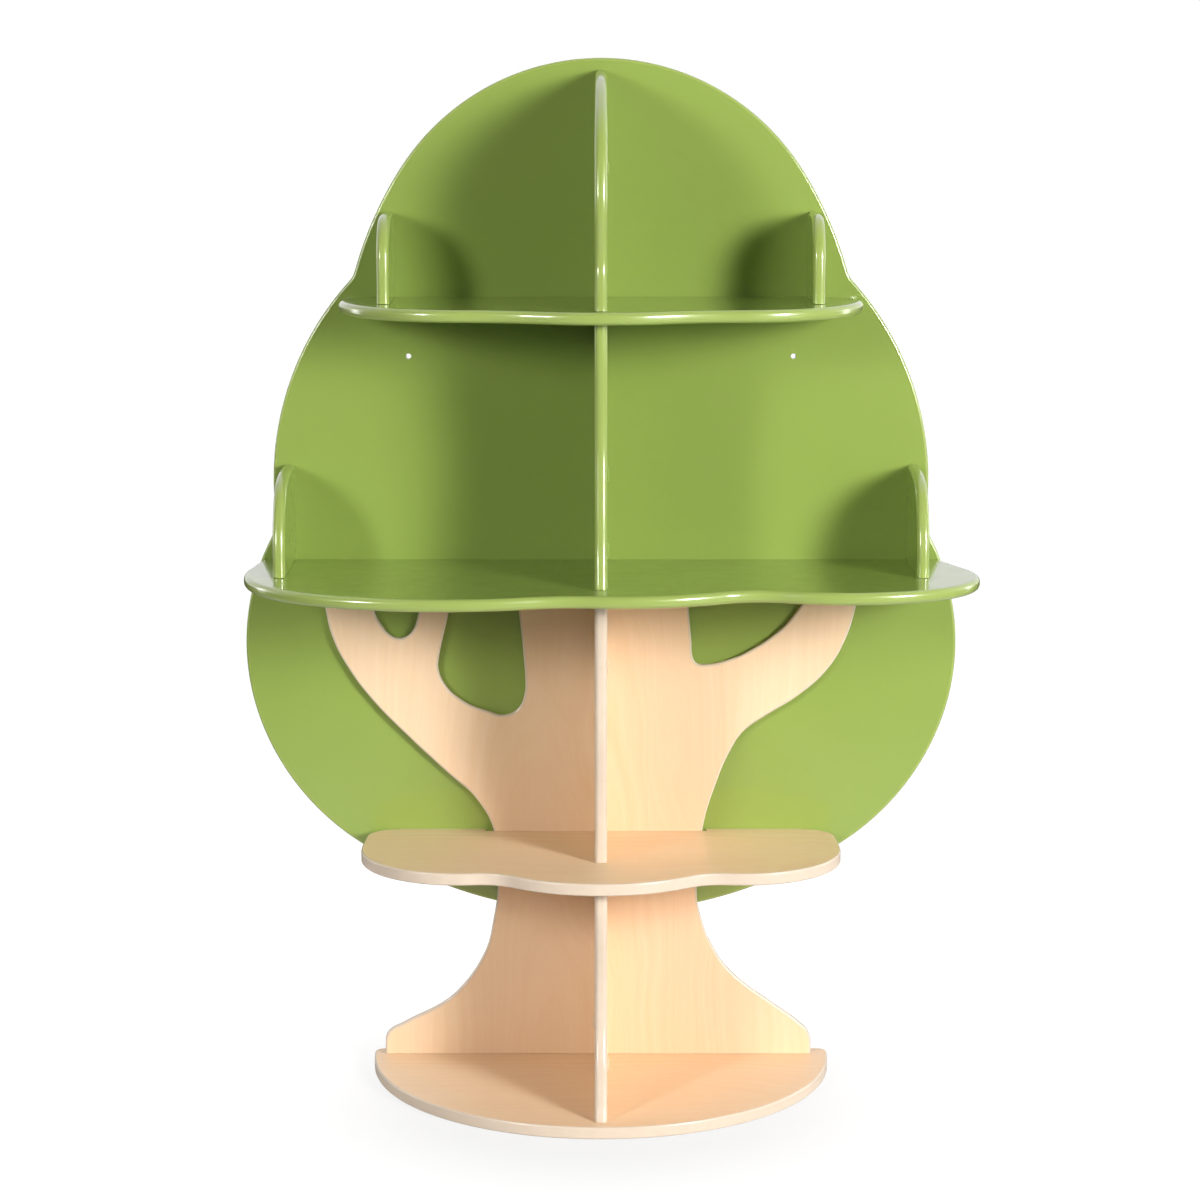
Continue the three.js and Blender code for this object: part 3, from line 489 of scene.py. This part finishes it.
def maple_finish(name, along, across, through, offset):
    """Maple film: straight fine grain along one axis, and the pointed figure of a flat-sawn board."""
    material, tree, add, shader = fresh_finish(name)
    split = add("ShaderNodeSeparateXYZ", {"Vector": add("ShaderNodeTexCoord").outputs["Object"]})

    def maths(a, b, operation="ADD"):
        """The sum of two values, or what another operation makes of them."""
        return add("ShaderNodeMath", {0: a, 1: b}, operation=operation).outputs[0]

    def grain_place(length_share):
        length = maths(split.outputs[along], length_share, "MULTIPLY")
        deep = maths(split.outputs[through], 0.5, "MULTIPLY")
        moved = maths(split.outputs[across], offset)
        return add("ShaderNodeCombineXYZ", {"X": moved, "Y": length, "Z": deep}).outputs[0]

    slow = add("ShaderNodeTexNoise", {"Vector": grain_place(0.35), "Scale": 7, "Detail": 2})
    wander = maths(maths(slow.outputs["Fac"], -0.5), 0.10, "MULTIPLY")
    # A log's rings, seen on a plane that lies at a slant to its heart.
    from_heart = maths(maths(split.outputs[across], offset), wander)
    repeat = maths(from_heart, 0.31, "PINGPONG")
    slant = maths(maths(split.outputs[along], 0.16, "MULTIPLY"), 0.02)
    depth = maths(slant, wander)
    squares = maths(maths(repeat, repeat, "MULTIPLY"), maths(depth, depth, "MULTIPLY"))
    ring = maths(squares, 0.5, "POWER")
    rings = add("ShaderNodeTexNoise", {"W": ring, "Scale": 95, "Detail": 3}, noise_dimensions="1D")
    streaks = add(
        "ShaderNodeTexNoise",
        {"Vector": grain_place(0.02), "Scale": 330, "Detail": 4, "Roughness": 0.6},
    )
    pores = add("ShaderNodeTexNoise", {"Vector": grain_place(0.045), "Scale": 1500, "Detail": 1})
    broad = add("ShaderNodeTexNoise", {"Vector": grain_place(0.08), "Scale": 14, "Detail": 2})
    mixed = maths(rings.outputs["Fac"], 0.42, "MULTIPLY")
    mixed = maths(mixed, maths(streaks.outputs["Fac"], 0.30, "MULTIPLY"))
    mixed = maths(mixed, maths(broad.outputs["Fac"], 0.28, "MULTIPLY"))
    colour = add("ShaderNodeValToRGB", {"Fac": mixed})
    colour.color_ramp.elements[0].position = 0.32
    colour.color_ramp.elements[0].color = (0.860, 0.605, 0.368, 1)
    colour.color_ramp.elements[1].position = 0.68
    colour.color_ramp.elements[1].color = (0.905, 0.675, 0.455, 1)
    flecked = add(
        "ShaderNodeMix",
        {"Factor": 0.10, "A": colour.outputs["Color"], "B": pores.outputs["Color"]},
        data_type="RGBA",
        blend_type="SOFT_LIGHT",
    )
    tree.links.new(flecked.outputs["Result"], shader.inputs["Base Color"])
    sheen = add(
        "ShaderNodeMapRange",
        {"Value": mixed, "From Min": 0.35, "From Max": 0.65, "To Min": 0.44, "To Max": 0.36},
    )
    tree.links.new(sheen.outputs["Result"], shader.inputs["Roughness"])
    shader.inputs["Specular IOR Level"].default_value = 0.75
    bump = add("ShaderNodeBump", {"Height": streaks.outputs["Fac"], "Strength": 0.03, "Distance": 0.001})
    tree.links.new(bump.outputs["Normal"], shader.inputs["Normal"])
    return material


# Pale edging: a plain beige plastic, satin, with faint scuffs.
pale_edging, tree, add, shader = fresh_finish("pale_edging")
place = add("ShaderNodeTexCoord").outputs["Object"]
scuffs = add("ShaderNodeTexNoise", {"Vector": place, "Scale": 60, "Detail": 5})
tone_between(tree, add, shader, scuffs.outputs["Fac"], (0.70, 0.565, 0.435, 1), (0.77, 0.64, 0.51, 1))
sheen_between(tree, add, shader, scuffs.outputs["Fac"], 0.16, 0.23)

maple_up = maple_finish("maple_up", "Z", "X", "Y", 0.075)
edged(trunk, maple_up, pale_edging, 2)
set_in_place(trunk, (0, trunk_box[1].y, 0), upright)
trunk_foot_screws = both_hands("trunk_foot_screw_")
bore_for(trunk, *trunk_screws, *trunk_foot_screws)
smooth_finish(trunk)
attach(trunk, "root")
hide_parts("trunk_panel")

# Shelves
# Two green shelves with fully rounded edges, wrapped in film, and one maple shelf with a pale edge
# band. Their front edges are sawn to lobes; their back edges are square and screwed to the crown from
# behind.

green_rounding = 0.0075
maple_rounding = 0.003
shelf_back = -0.0003  # just off the crown's face


def corner_heading(end, corner):
    """Where the straight edge from a back corner meets the round end of a shelf."""
    x, y, radius = end
    away = math.atan2(-y, corner - x)
    return away - math.copysign(math.acos(radius / math.hypot(corner - x, y)), corner)


def carried_corner(end, corner):
    """The back corner, carried on past the trim along the same straight edge."""
    ex, ey = on_circle(end, corner_heading(end, corner))
    reach = math.hypot(corner - ex, ey)
    return corner + (corner - ex) * past_trim / reach, -ey * past_trim / reach


def rim_at(height):
    """How far the crown's rim stands from the middle line at some height."""
    reaches = [
        x + math.sqrt(radius ** 2 - (height - y) ** 2)
        for x, y, radius in (crown_top_lobe, crown_flank, crown_middle_lobe, crown_lower_lobe)
        if abs(height - y) < radius
    ]
    return max(reaches)


def winged_shelf(name, circles, left_corner, right_corner, node):
    """A lobed shelf with straight edges from its round ends to its back corners."""
    left_heading = corner_heading(circles[0], left_corner)
    right_heading = corner_heading(circles[-1], right_corner)
    start = on_circle(circles[0], left_heading)
    end = on_circle(circles[-1], right_heading)
    right_end = carried_corner(circles[-1], right_corner)
    left_end = carried_corner(circles[0], left_corner)
    piece = pencil_point(name, *start)
    pencil_arcs(circles, left_heading, right_heading)
    pencil_line(end, right_end)
    pencil_line(right_end, left_end)
    pencil_line(left_end, start)
    return fit_shelf(piece, node, green_rounding)


def back_corner(flank, radius):
    """The round corner that a flank runs into, flush with the back edge."""
    x, y, flank_radius = flank
    return running_on(flank, math.asin((-y - radius) / (flank_radius - radius)), radius)


def even_shelf(name, centre, hollow, right_circles, node, rounding):
    """A lobed shelf that is the same on both sides, with round back corners."""
    left_circles = [mirrored(circle) for circle in reversed(right_circles)]
    left_start = on_circle(left_circles[0], math.pi / 2)
    right_end = on_circle(right_circles[-1], math.pi / 2)
    piece = pencil_point(name, *left_start)
    pencil_arcs(
        [
            *left_circles,
            hollow_between(left_circles[-1], centre, hollow),
            centre,
            hollow_between(centre, right_circles[0], hollow),
            *right_circles,
        ],
        math.pi / 2,
        math.pi / 2,
    )
    pencil_line(right_end, (right_end[0], past_trim))
    pencil_line((right_end[0], past_trim), (left_start[0], past_trim))
    pencil_line((left_start[0], past_trim), left_start)
    return fit_shelf(piece, node, rounding)


def fit_shelf(piece, node, rounding):
    """Saws the shelf, cuts its back edge square and lays it at its height."""
    saw_board(piece, board_thickness, rounding, segments=8)
    trim((0, shelf_back, 0), (0, 1, 0))
    set_in_place(piece, (0, crown_front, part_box(node)[0].z), (0, 0, 0))
    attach(piece, "root")
    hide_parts(node)
    return piece


top_rim = rim_at(top_shelf_top)
middle_rim = rim_at(middle_shelf_top)
top_right = (top_rim - 0.0095 - 0.1875, -0.058, 0.1875)
top_shelf = even_shelf(
    "shelf_top",
    centre=(0, -0.0685, 0.218),
    hollow=0.300,
    right_circles=[top_right, back_corner(top_right, 0.060)],
    node="top_shelf",
    rounding=green_rounding,
)
bore_for(
    top_shelf,
    *shelf_screws[0:2],
    "top_side_divider_left_foot_screw",
    "top_side_divider_right_foot_screw",
    "top_divider_foot_screw",
)
edged(top_shelf, green_film, green_painted_sheen, 2)
smooth_finish(top_shelf)

middle_left = mirrored((middle_rim + 0.0125 - 0.223, -0.110, 0.223))
middle_left_front = running_on(middle_left, math.radians(-117.5), 0.386)
middle_centre = (0.028, -0.049, 0.278)
middle_right = (middle_rim + 0.0415 - 0.148, -0.135, 0.148)
middle_right_front = running_on(middle_right, math.radians(-57), 0.238)
middle_shelf = winged_shelf(
    "shelf_middle",
    [
        middle_left,
        middle_left_front,
        hollow_between(middle_left_front, middle_centre, 0.187),
        middle_centre,
        hollow_between(middle_centre, middle_right_front, 0.112),
        middle_right_front,
        middle_right,
    ],
    left_corner=-middle_rim,
    right_corner=middle_rim,
    node="middle_shelf",
)
bore_for(
    middle_shelf,
    *shelf_screws[2:6],
    "middle_side_divider_left_foot_screw",
    "middle_side_divider_right_foot_screw",
)
edged(middle_shelf, green_film, green_painted_sheen, 2)
smooth_finish(middle_shelf)

# The maple shelf has a notch in its back edge for the trunk.
lower_right = (0.203, -0.113, 0.150)
lower_flank = running_on(lower_right, 0, 0.900)
lower_shelf = even_shelf(
    "shelf_lower",
    centre=(0, -0.1185, 0.202),
    hollow=0.072,
    right_circles=[lower_right, lower_flank, back_corner(lower_flank, 0.045)],
    node="lower_shelf",
    rounding=maple_rounding,
)
joint_gap = 0.0003
lower_shelf_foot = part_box("lower_shelf")[0].z
beside_shelf = [
    vertex.co.x
    for vertex in trunk.data.vertices
    if abs(vertex.co.z - lower_shelf_foot) < past_trim + board_thickness
]
notch_left = min(beside_shelf) - joint_gap
notch_right = max(beside_shelf) + joint_gap
notch_front = trunk_box[0].y - joint_gap
select_none()
bpy.ops.mesh.primitive_cube_add(
    size=1,
    location=((notch_left + notch_right) / 2, notch_front + 0.5, lower_shelf_foot),
    scale=(notch_right - notch_left, 1, 1),
)
drill(lower_shelf, bpy.context.object)
maple_across = maple_finish("maple_across", "X", "Y", "Z", 0.04)
edged(lower_shelf, maple_across, pale_edging, 2)
bore_for(lower_shelf, *shelf_screws[6:8], "lower_divider_foot_screw")
smooth_finish(lower_shelf)

# Base board
# A half-moon of the same maple-faced board that the whole tree stands on. It has the same pale edge
# band, and its back corners are rounded off.

base_radius = 0.345
base_corner = 0.014
base_left = (-(base_radius - base_corner), board_thickness - base_corner, base_corner)
base_right = mirrored(base_left)
base = pencil_point("base", -base_radius, 0)
pencil_arcs([(0, 0, base_radius)], math.pi, 0)
pencil_line((base_radius, 0), (base_radius, base_right[1]))
pencil_arcs([base_right], 0, math.pi / 2)
pencil_line(on_circle(base_right, math.pi / 2), on_circle(base_left, math.pi / 2))
pencil_arcs([base_left], math.pi / 2, math.pi)
pencil_line((-base_radius, base_left[1]), (-base_radius, 0))
saw_board(base, board_thickness, maple_rounding, segments=8)
edged(base, maple_across, pale_edging, 2)
set_in_place(base, (0, crown_front, 0), (0, 0, 0))
bore_for(base, *trunk_foot_screws)
smooth_finish(base)
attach(base, "root")
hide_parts("base_board")

# Dividers
# Upright boards that stand on the shelves: four in the middle, one in each bay, and a small one near
# each end of the green shelves. Their front edges are wavy and fully rounded. Cams, bolts and screws
# hold them.

maple_divider_rounding = 0.0065
maple_forward = maple_finish("maple_forward", "Z", "Y", "X", 0.11)
facing_forward = (math.pi / 2, 0, -math.pi / 2)
top_front = [(1, 0), (0.955, 0.09), (0.925, 0.2), (0.965, 0.32), (1, 0.42), (0.985, 0.56), (0.93, 0.68)]
top_front += [(0.8, 0.8), (0.62, 0.88), (0.4, 0.945), (0.2, 0.98), (0, 1)]
upper_front = [(1, 0), (0.955, 0.13), (0.93, 0.27), (0.905, 0.4), (0.885, 0.54), (0.9, 0.7), (0.935, 0.85)]
upper_front += [(0.94, 1)]
lower_front = [(0.765, 0), (0.75, 0.12), (0.775, 0.28), (0.84, 0.44), (0.86, 0.58), (0.87, 0.72)]
lower_front += [(0.93, 0.86), (1, 1)]
base_front = [(1, 0), (0.95, 0.1), (0.86, 0.25), (0.81, 0.4), (0.8, 0.55), (0.83, 0.7), (0.87, 0.85)]
base_front += [(0.88, 1)]
top_side_front = [(1, 0), (1, 0.45), (0.985, 0.6), (0.93, 0.74), (0.84, 0.86), (0.74, 0.94), (0.6, 0.985)]
top_side_front += [(0.4, 1), (0, 1)]
middle_side_front = [(1, 0), (1, 0.2), (0.97, 0.42), (0.91, 0.6), (0.83, 0.76), (0.72, 0.88), (0.56, 0.955)]
middle_side_front += [(0.35, 0.99), (0, 1)]


def divider(name, node, reach, shares, green, screws=()):
    """A divider with a wavy front edge, square where it meets crown, trunk and shelves."""
    low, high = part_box(node)
    height = high.z - low.z
    front = [(out * reach, up * height) for out, up in shares]
    below = (front[0][0], -past_trim)
    behind_foot = (-past_trim, -past_trim)
    head = front[-1][0]
    meets_crown = head == 0
    if meets_crown:
        runs = [[below, *front, (-past_trim, height)], [behind_foot]]
    else:
        above = (head, height + past_trim)
        behind_head = (-past_trim, height + past_trim)
        runs = [[below, *front, above], [behind_head, behind_foot]]
    piece = pencil_curve(name, runs)
    rounding = green_rounding if green else maple_divider_rounding
    saw_board(piece, board_thickness, rounding, segments=8)
    trim((0, 0, 0), (-1, 0, 0))
    trim((0, 0, 0), (0, -1, 0), sanded=True)
    if not meets_crown:
        trim((0, height, 0), (0, 1, 0), sanded=True)
    edged(piece, *((green_film, green_painted_sheen) if green else (maple_forward, pale_edging)), 2)
    set_in_place(piece, (high.x, high.y, low.z), facing_forward)
    bore_for(piece, *screws)
    smooth_finish(piece)
    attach(piece, "root")
    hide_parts(node)


divider(
    "divider_top",
    "top_divider",
    reach=0.2657,
    shares=top_front,
    green=True,
    screws=["top_divider_foot_screw"],
)
divider("divider_upper", "upper_divider", reach=0.2747, shares=upper_front, green=True)
divider(
    "divider_lower",
    "lower_divider",
    reach=0.2494,
    shares=lower_front,
    green=False,
    screws=["lower_divider_foot_screw"],
)
divider("divider_base", "base_divider", reach=0.3134, shares=base_front, green=False)
for level, reach, front in (("top", 0.1437, top_side_front), ("middle", 0.1717, middle_side_front)):
    for hand in ("left", "right"):
        node = level + "_side_divider_" + hand
        screws = [node + "_back_screw", node + "_foot_screw"]
        divider("divider_" + level + "_" + hand, node, reach, front, True, screws)

# Fittings
# Zinc-plated steel screws with countersunk heads and a cross recess, driven from behind and from below.
# In the dividers, steel cams and bolts lie under domed plastic caps in the colour of the board.

zinc, tree, add, shader = fresh_finish("zinc_plate")
place = add("ShaderNodeTexCoord").outputs["Object"]
spangle = add("ShaderNodeTexNoise", {"Vector": place, "Scale": 700, "Detail": 3})
tone_between(tree, add, shader, spangle.outputs["Fac"], (0.56, 0.58, 0.62, 1), (0.74, 0.75, 0.77, 1))
sheen_between(tree, add, shader, spangle.outputs["Fac"], 0.24, 0.42)
shader.inputs["Metallic"].default_value = 1.0


def taper(piece, share):
    """Narrows the far end of a cross recess's cutter."""
    bpy.ops.object.mode_set(mode="EDIT")
    pick_faces(piece, lambda centre, normal: normal.y > 0.9)
    bpy.ops.transform.resize(value=(share, 1, share))
    bpy.ops.object.mode_set(mode="OBJECT")


eased = 0.0002  # how far the edge of a turned face is eased
tip_end = 0.0004
recess_width = 0.0009
screws = {}
for kind, (head, head_height, shank, length, tip) in screw_sizes.items():
    screw = turned("screw_" + kind, [
        (0, 0),
        (head - eased, 0),
        (head, eased),
        (shank, head_height),
        (shank, length - tip),
        (tip_end, length - bore_play),
        (0, length - bore_play),
    ], 32)
    recess_span = 1.2 * head
    for across, along in ((recess_width, recess_span), (recess_span, recess_width)):
        select_none()
        bpy.ops.mesh.primitive_cube_add(size=1, scale=(across, 0.8 * head, along))
        taper(bpy.context.object, 0.55)
        drill(screw, bpy.context.object)
    screw.data.materials.append(zinc)
    pick(screw)
    bpy.ops.object.shade_smooth_by_angle(angle=smooth_below)
    screws[kind] = screw


def another(piece, name):
    """A copy with a mesh of its own."""
    pick(piece)
    bpy.ops.object.duplicate(linked=False)
    copy = bpy.context.object
    copy.name = copy.data.name = name
    return copy


for node in sorted(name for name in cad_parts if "_screw" in name):
    kind, place, turn = screw_stands(node)
    screw = another(screws[kind], node.replace("_screw", "_fixing"))
    set_in_place(screw, place, turn)
    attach(screw, "root")
    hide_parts(node)
for screw in screws.values():
    bpy.data.objects.remove(screw)

for node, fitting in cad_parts.items():
    if node.endswith(("_cam", "_bolt")):
        for slot in fitting.material_slots:
            slot.material = zinc


def cap_finish(name, dark, light):
    """Moulded plastic with a fine, slightly uneven skin."""
    material, tree, add, shader = fresh_finish(name)
    place = add("ShaderNodeTexCoord").outputs["Object"]
    skin = add("ShaderNodeTexNoise", {"Vector": place, "Scale": 900, "Detail": 3})
    tone_between(tree, add, shader, skin.outputs["Fac"], dark, light)
    sheen_between(tree, add, shader, skin.outputs["Fac"], 0.28, 0.4)
    bump = add("ShaderNodeBump", {"Height": skin.outputs["Fac"], "Strength": 0.08, "Distance": 0.0005})
    tree.links.new(bump.outputs["Normal"], shader.inputs["Normal"])
    return material


green_plastic = cap_finish("green_plastic", (0.27, 0.38, 0.07, 1), (0.31, 0.43, 0.09, 1))
beige_plastic = cap_finish("beige_plastic", (0.74, 0.58, 0.40, 1), (0.80, 0.65, 0.47, 1))

cap_low, cap_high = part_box("top_divider_cap")
cap_thickness = cap_high.x - cap_low.x
cap_radius = (cap_high.z - cap_low.z) / 2
# How far the dome has drawn in from the rim, at shares of the cap's thickness.
dome = [(0, 0.40), (0.0004, 0.62), (0.0012, 0.80), (0.0026, 0.92), (0.45 * cap_radius, 0.98)]
master_cap = turned("cap", [
    (0, 0),
    (cap_radius - eased, 0),
    (cap_radius, eased),
    *((cap_radius - drawn_in, share * cap_thickness) for drawn_in, share in dome),
    (0, cap_thickness),
], 48)
pick(master_cap)
bpy.ops.object.shade_smooth_by_angle(angle=math.radians(50))
for node in sorted(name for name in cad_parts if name.endswith("_cap")):
    low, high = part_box(node)
    on_right = low.x > 0
    cap = another(master_cap, node.replace("_cap", "_cover"))
    green = node.startswith(("top", "upper"))
    cap.data.materials.append(green_plastic if green else beige_plastic)
    middle = (low + high) / 2
    place = (low.x if on_right else high.x, middle.y, middle.z)
    set_in_place(cap, place, (0, 0, -math.pi / 2 if on_right else math.pi / 2))
    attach(cap, "root")
    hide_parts(node)
bpy.data.objects.remove(master_cap)

# Studio
# A sheet of white paper on the floor of a dim room, a white backdrop, a large soft light at the right
# of the camera, a smaller one at the left, a faint panel at either side, and the camera where the
# photographer stood.

floor_size = 60
floor_drop = 0.0002  # keeps the paper clear of the base
select_none()
bpy.ops.mesh.primitive_plane_add(size=floor_size, location=(0, 0, -floor_drop))
floor = bpy.context.object
floor.name = "floor"
floor_white, tree, add, shader = fresh_finish("floor_white")
shader.inputs["Roughness"].default_value = 0.7
shader.inputs["Specular IOR Level"].default_value = 0
# A sheet of white paper that ends some way off, in a dim room.
away = add("ShaderNodeVectorMath", {0: add("ShaderNodeTexCoord").outputs["Object"]}, operation="LENGTH")
paper_end = add(
    "ShaderNodeMapRange",
    {"Value": away.outputs["Value"], "From Min": 1.2, "From Max": 2.6, "To Min": 0.60, "To Max": 0.05},
)
tree.links.new(paper_end.outputs["Result"], shader.inputs["Base Color"])
# The camera sees it white all over. Its glow is painted darker within about half a metre of the middle, a
# painted shade round the base, and a faint diffuse layer adds the real shadows on top.
paper = add(
    "ShaderNodeMapRange",
    {"Value": away.outputs["Value"], "From Min": 0.25, "From Max": 0.6, "To Min": 0.79, "To Max": 1.0},
)
glow = add("ShaderNodeEmission", {"Color": (1, 1, 1, 1), "Strength": paper.outputs["Result"]})
shade = add("ShaderNodeBsdfDiffuse", {"Color": (0.15, 0.15, 0.15, 1)})
paper_seen = add("ShaderNodeAddShader", {0: glow.outputs[0], 1: shade.outputs[0]})
ray = add("ShaderNodeLightPath").outputs["Is Camera Ray"]
floor_shader = add("ShaderNodeMixShader", {0: ray, 1: shader.outputs[0], 2: paper_seen.outputs[0]})
tree.links.new(floor_shader.outputs[0], tree.nodes["Material Output"].inputs["Surface"])
floor.data.materials.append(floor_white)

world = bpy.data.worlds.new("studio_white")
bpy.context.scene.world = world
world.use_nodes = True
nodes = world.node_tree.nodes
links = world.node_tree.links
background = nodes["Background"]
background.inputs["Color"].default_value = (1, 1, 1, 1)
# What the polish mirrors: the white backdrop behind the tree, and the dim room behind the camera.
facing = nodes.new("ShaderNodeTexCoord")
split = nodes.new("ShaderNodeSeparateXYZ")
links.new(facing.outputs["Generated"], split.inputs["Vector"])


def rise_to_backdrop(start, end, dim, bright):
    """A smooth rise from the dim room to the backdrop, between two places on the way back."""
    rise = nodes.new("ShaderNodeMapRange")
    rise.interpolation_type = "SMOOTHSTEP"
    rise.inputs["From Min"].default_value = start
    rise.inputs["From Max"].default_value = end
    rise.inputs["To Min"].default_value = dim
    rise.inputs["To Max"].default_value = bright
    links.new(split.outputs["Y"], rise.inputs["Value"])
    return rise.outputs["Result"]


mirrored_room = rise_to_backdrop(-0.35, 0.4, 0.05, 1.0)
# What lights it softly: the same backdrop, from behind and from the sides.
backdrop_light = rise_to_backdrop(-0.2, 0.8, 0.004, 0.75)
ray = nodes.new("ShaderNodeLightPath")
soft_or_mirrored = nodes.new("ShaderNodeMix")
links.new(backdrop_light, soft_or_mirrored.inputs["A"])
links.new(ray.outputs["Is Glossy Ray"], soft_or_mirrored.inputs["Factor"])
links.new(mirrored_room, soft_or_mirrored.inputs["B"])
level = nodes.new("ShaderNodeMix")
level.inputs["B"].default_value = 1.0
links.new(ray.outputs["Is Camera Ray"], level.inputs["Factor"])
links.new(soft_or_mirrored.outputs["Result"], level.inputs["A"])
links.new(level.outputs["Result"], background.inputs["Strength"])

tree_middle = Vector((0, crown_front, 0.75))
full_middle = 4.24  # makes up for the fade, so that the power stays as set


def soft_light(name, azimuth, height, distance, width, tall, power):
    """A soft light that looks at the middle of the tree and fades from its middle to its rim."""
    turn = math.radians(azimuth)
    away = Vector((math.sin(turn) * distance, -math.cos(turn) * distance, height - tree_middle.z))
    place = tree_middle + away
    bpy.ops.object.light_add(type="AREA", location=place)
    lamp = bpy.context.object
    lamp.name = name
    lamp.data.shape = "RECTANGLE"
    lamp.data.size = width
    lamp.data.size_y = tall
    lamp.data.energy = power
    lamp.data.use_nodes = True
    cloth = lamp.data.node_tree
    place_on_cloth = cloth.nodes.new("ShaderNodeNewGeometry")
    off_middle = cloth.nodes.new("ShaderNodeVectorMath")
    off_middle.operation = "DISTANCE"
    off_middle.inputs[1].default_value = (0.5, 0.5, 0)
    cloth.links.new(place_on_cloth.outputs["Parametric"], off_middle.inputs[0])
    fade = cloth.nodes.new("ShaderNodeMapRange")
    fade.interpolation_type = "SMOOTHSTEP"
    fade.inputs["From Max"].default_value = 0.5
    fade.inputs["To Min"].default_value = full_middle
    fade.inputs["To Max"].default_value = 0
    cloth.links.new(off_middle.outputs["Value"], fade.inputs["Value"])
    cloth.links.new(fade.outputs["Result"], cloth.nodes["Emission"].inputs["Strength"])
    lamp.rotation_euler = (tree_middle - place).to_track_quat("-Z", "Y").to_euler()


soft_light("light_right", azimuth=43, height=2.2, distance=6.0, width=2.6, tall=3.0, power=445)
soft_light("light_left", azimuth=-41, height=2.5, distance=6.0, width=1.6, tall=2.4, power=178)
for name, side in (("panel_right", 1), ("panel_left", -1)):
    soft_light(name, azimuth=side * 112, height=1.1, distance=3.5, width=1.3, tall=2.6, power=13)

scene = bpy.context.scene
camera_data = bpy.data.cameras.new("camera")
camera = bpy.data.objects.new("camera", camera_data)
scene.collection.objects.link(camera)
camera.location = (0, -4.4595, 1.532)
camera.rotation_euler = (math.radians(80), 0, 0)
camera_data.sensor_width = 36
camera_data.lens = 94.42
camera_data.shift_x = -0.0008
camera_data.shift_y = 0.0006
scene.camera = camera
scene.view_settings.view_transform = "Standard"
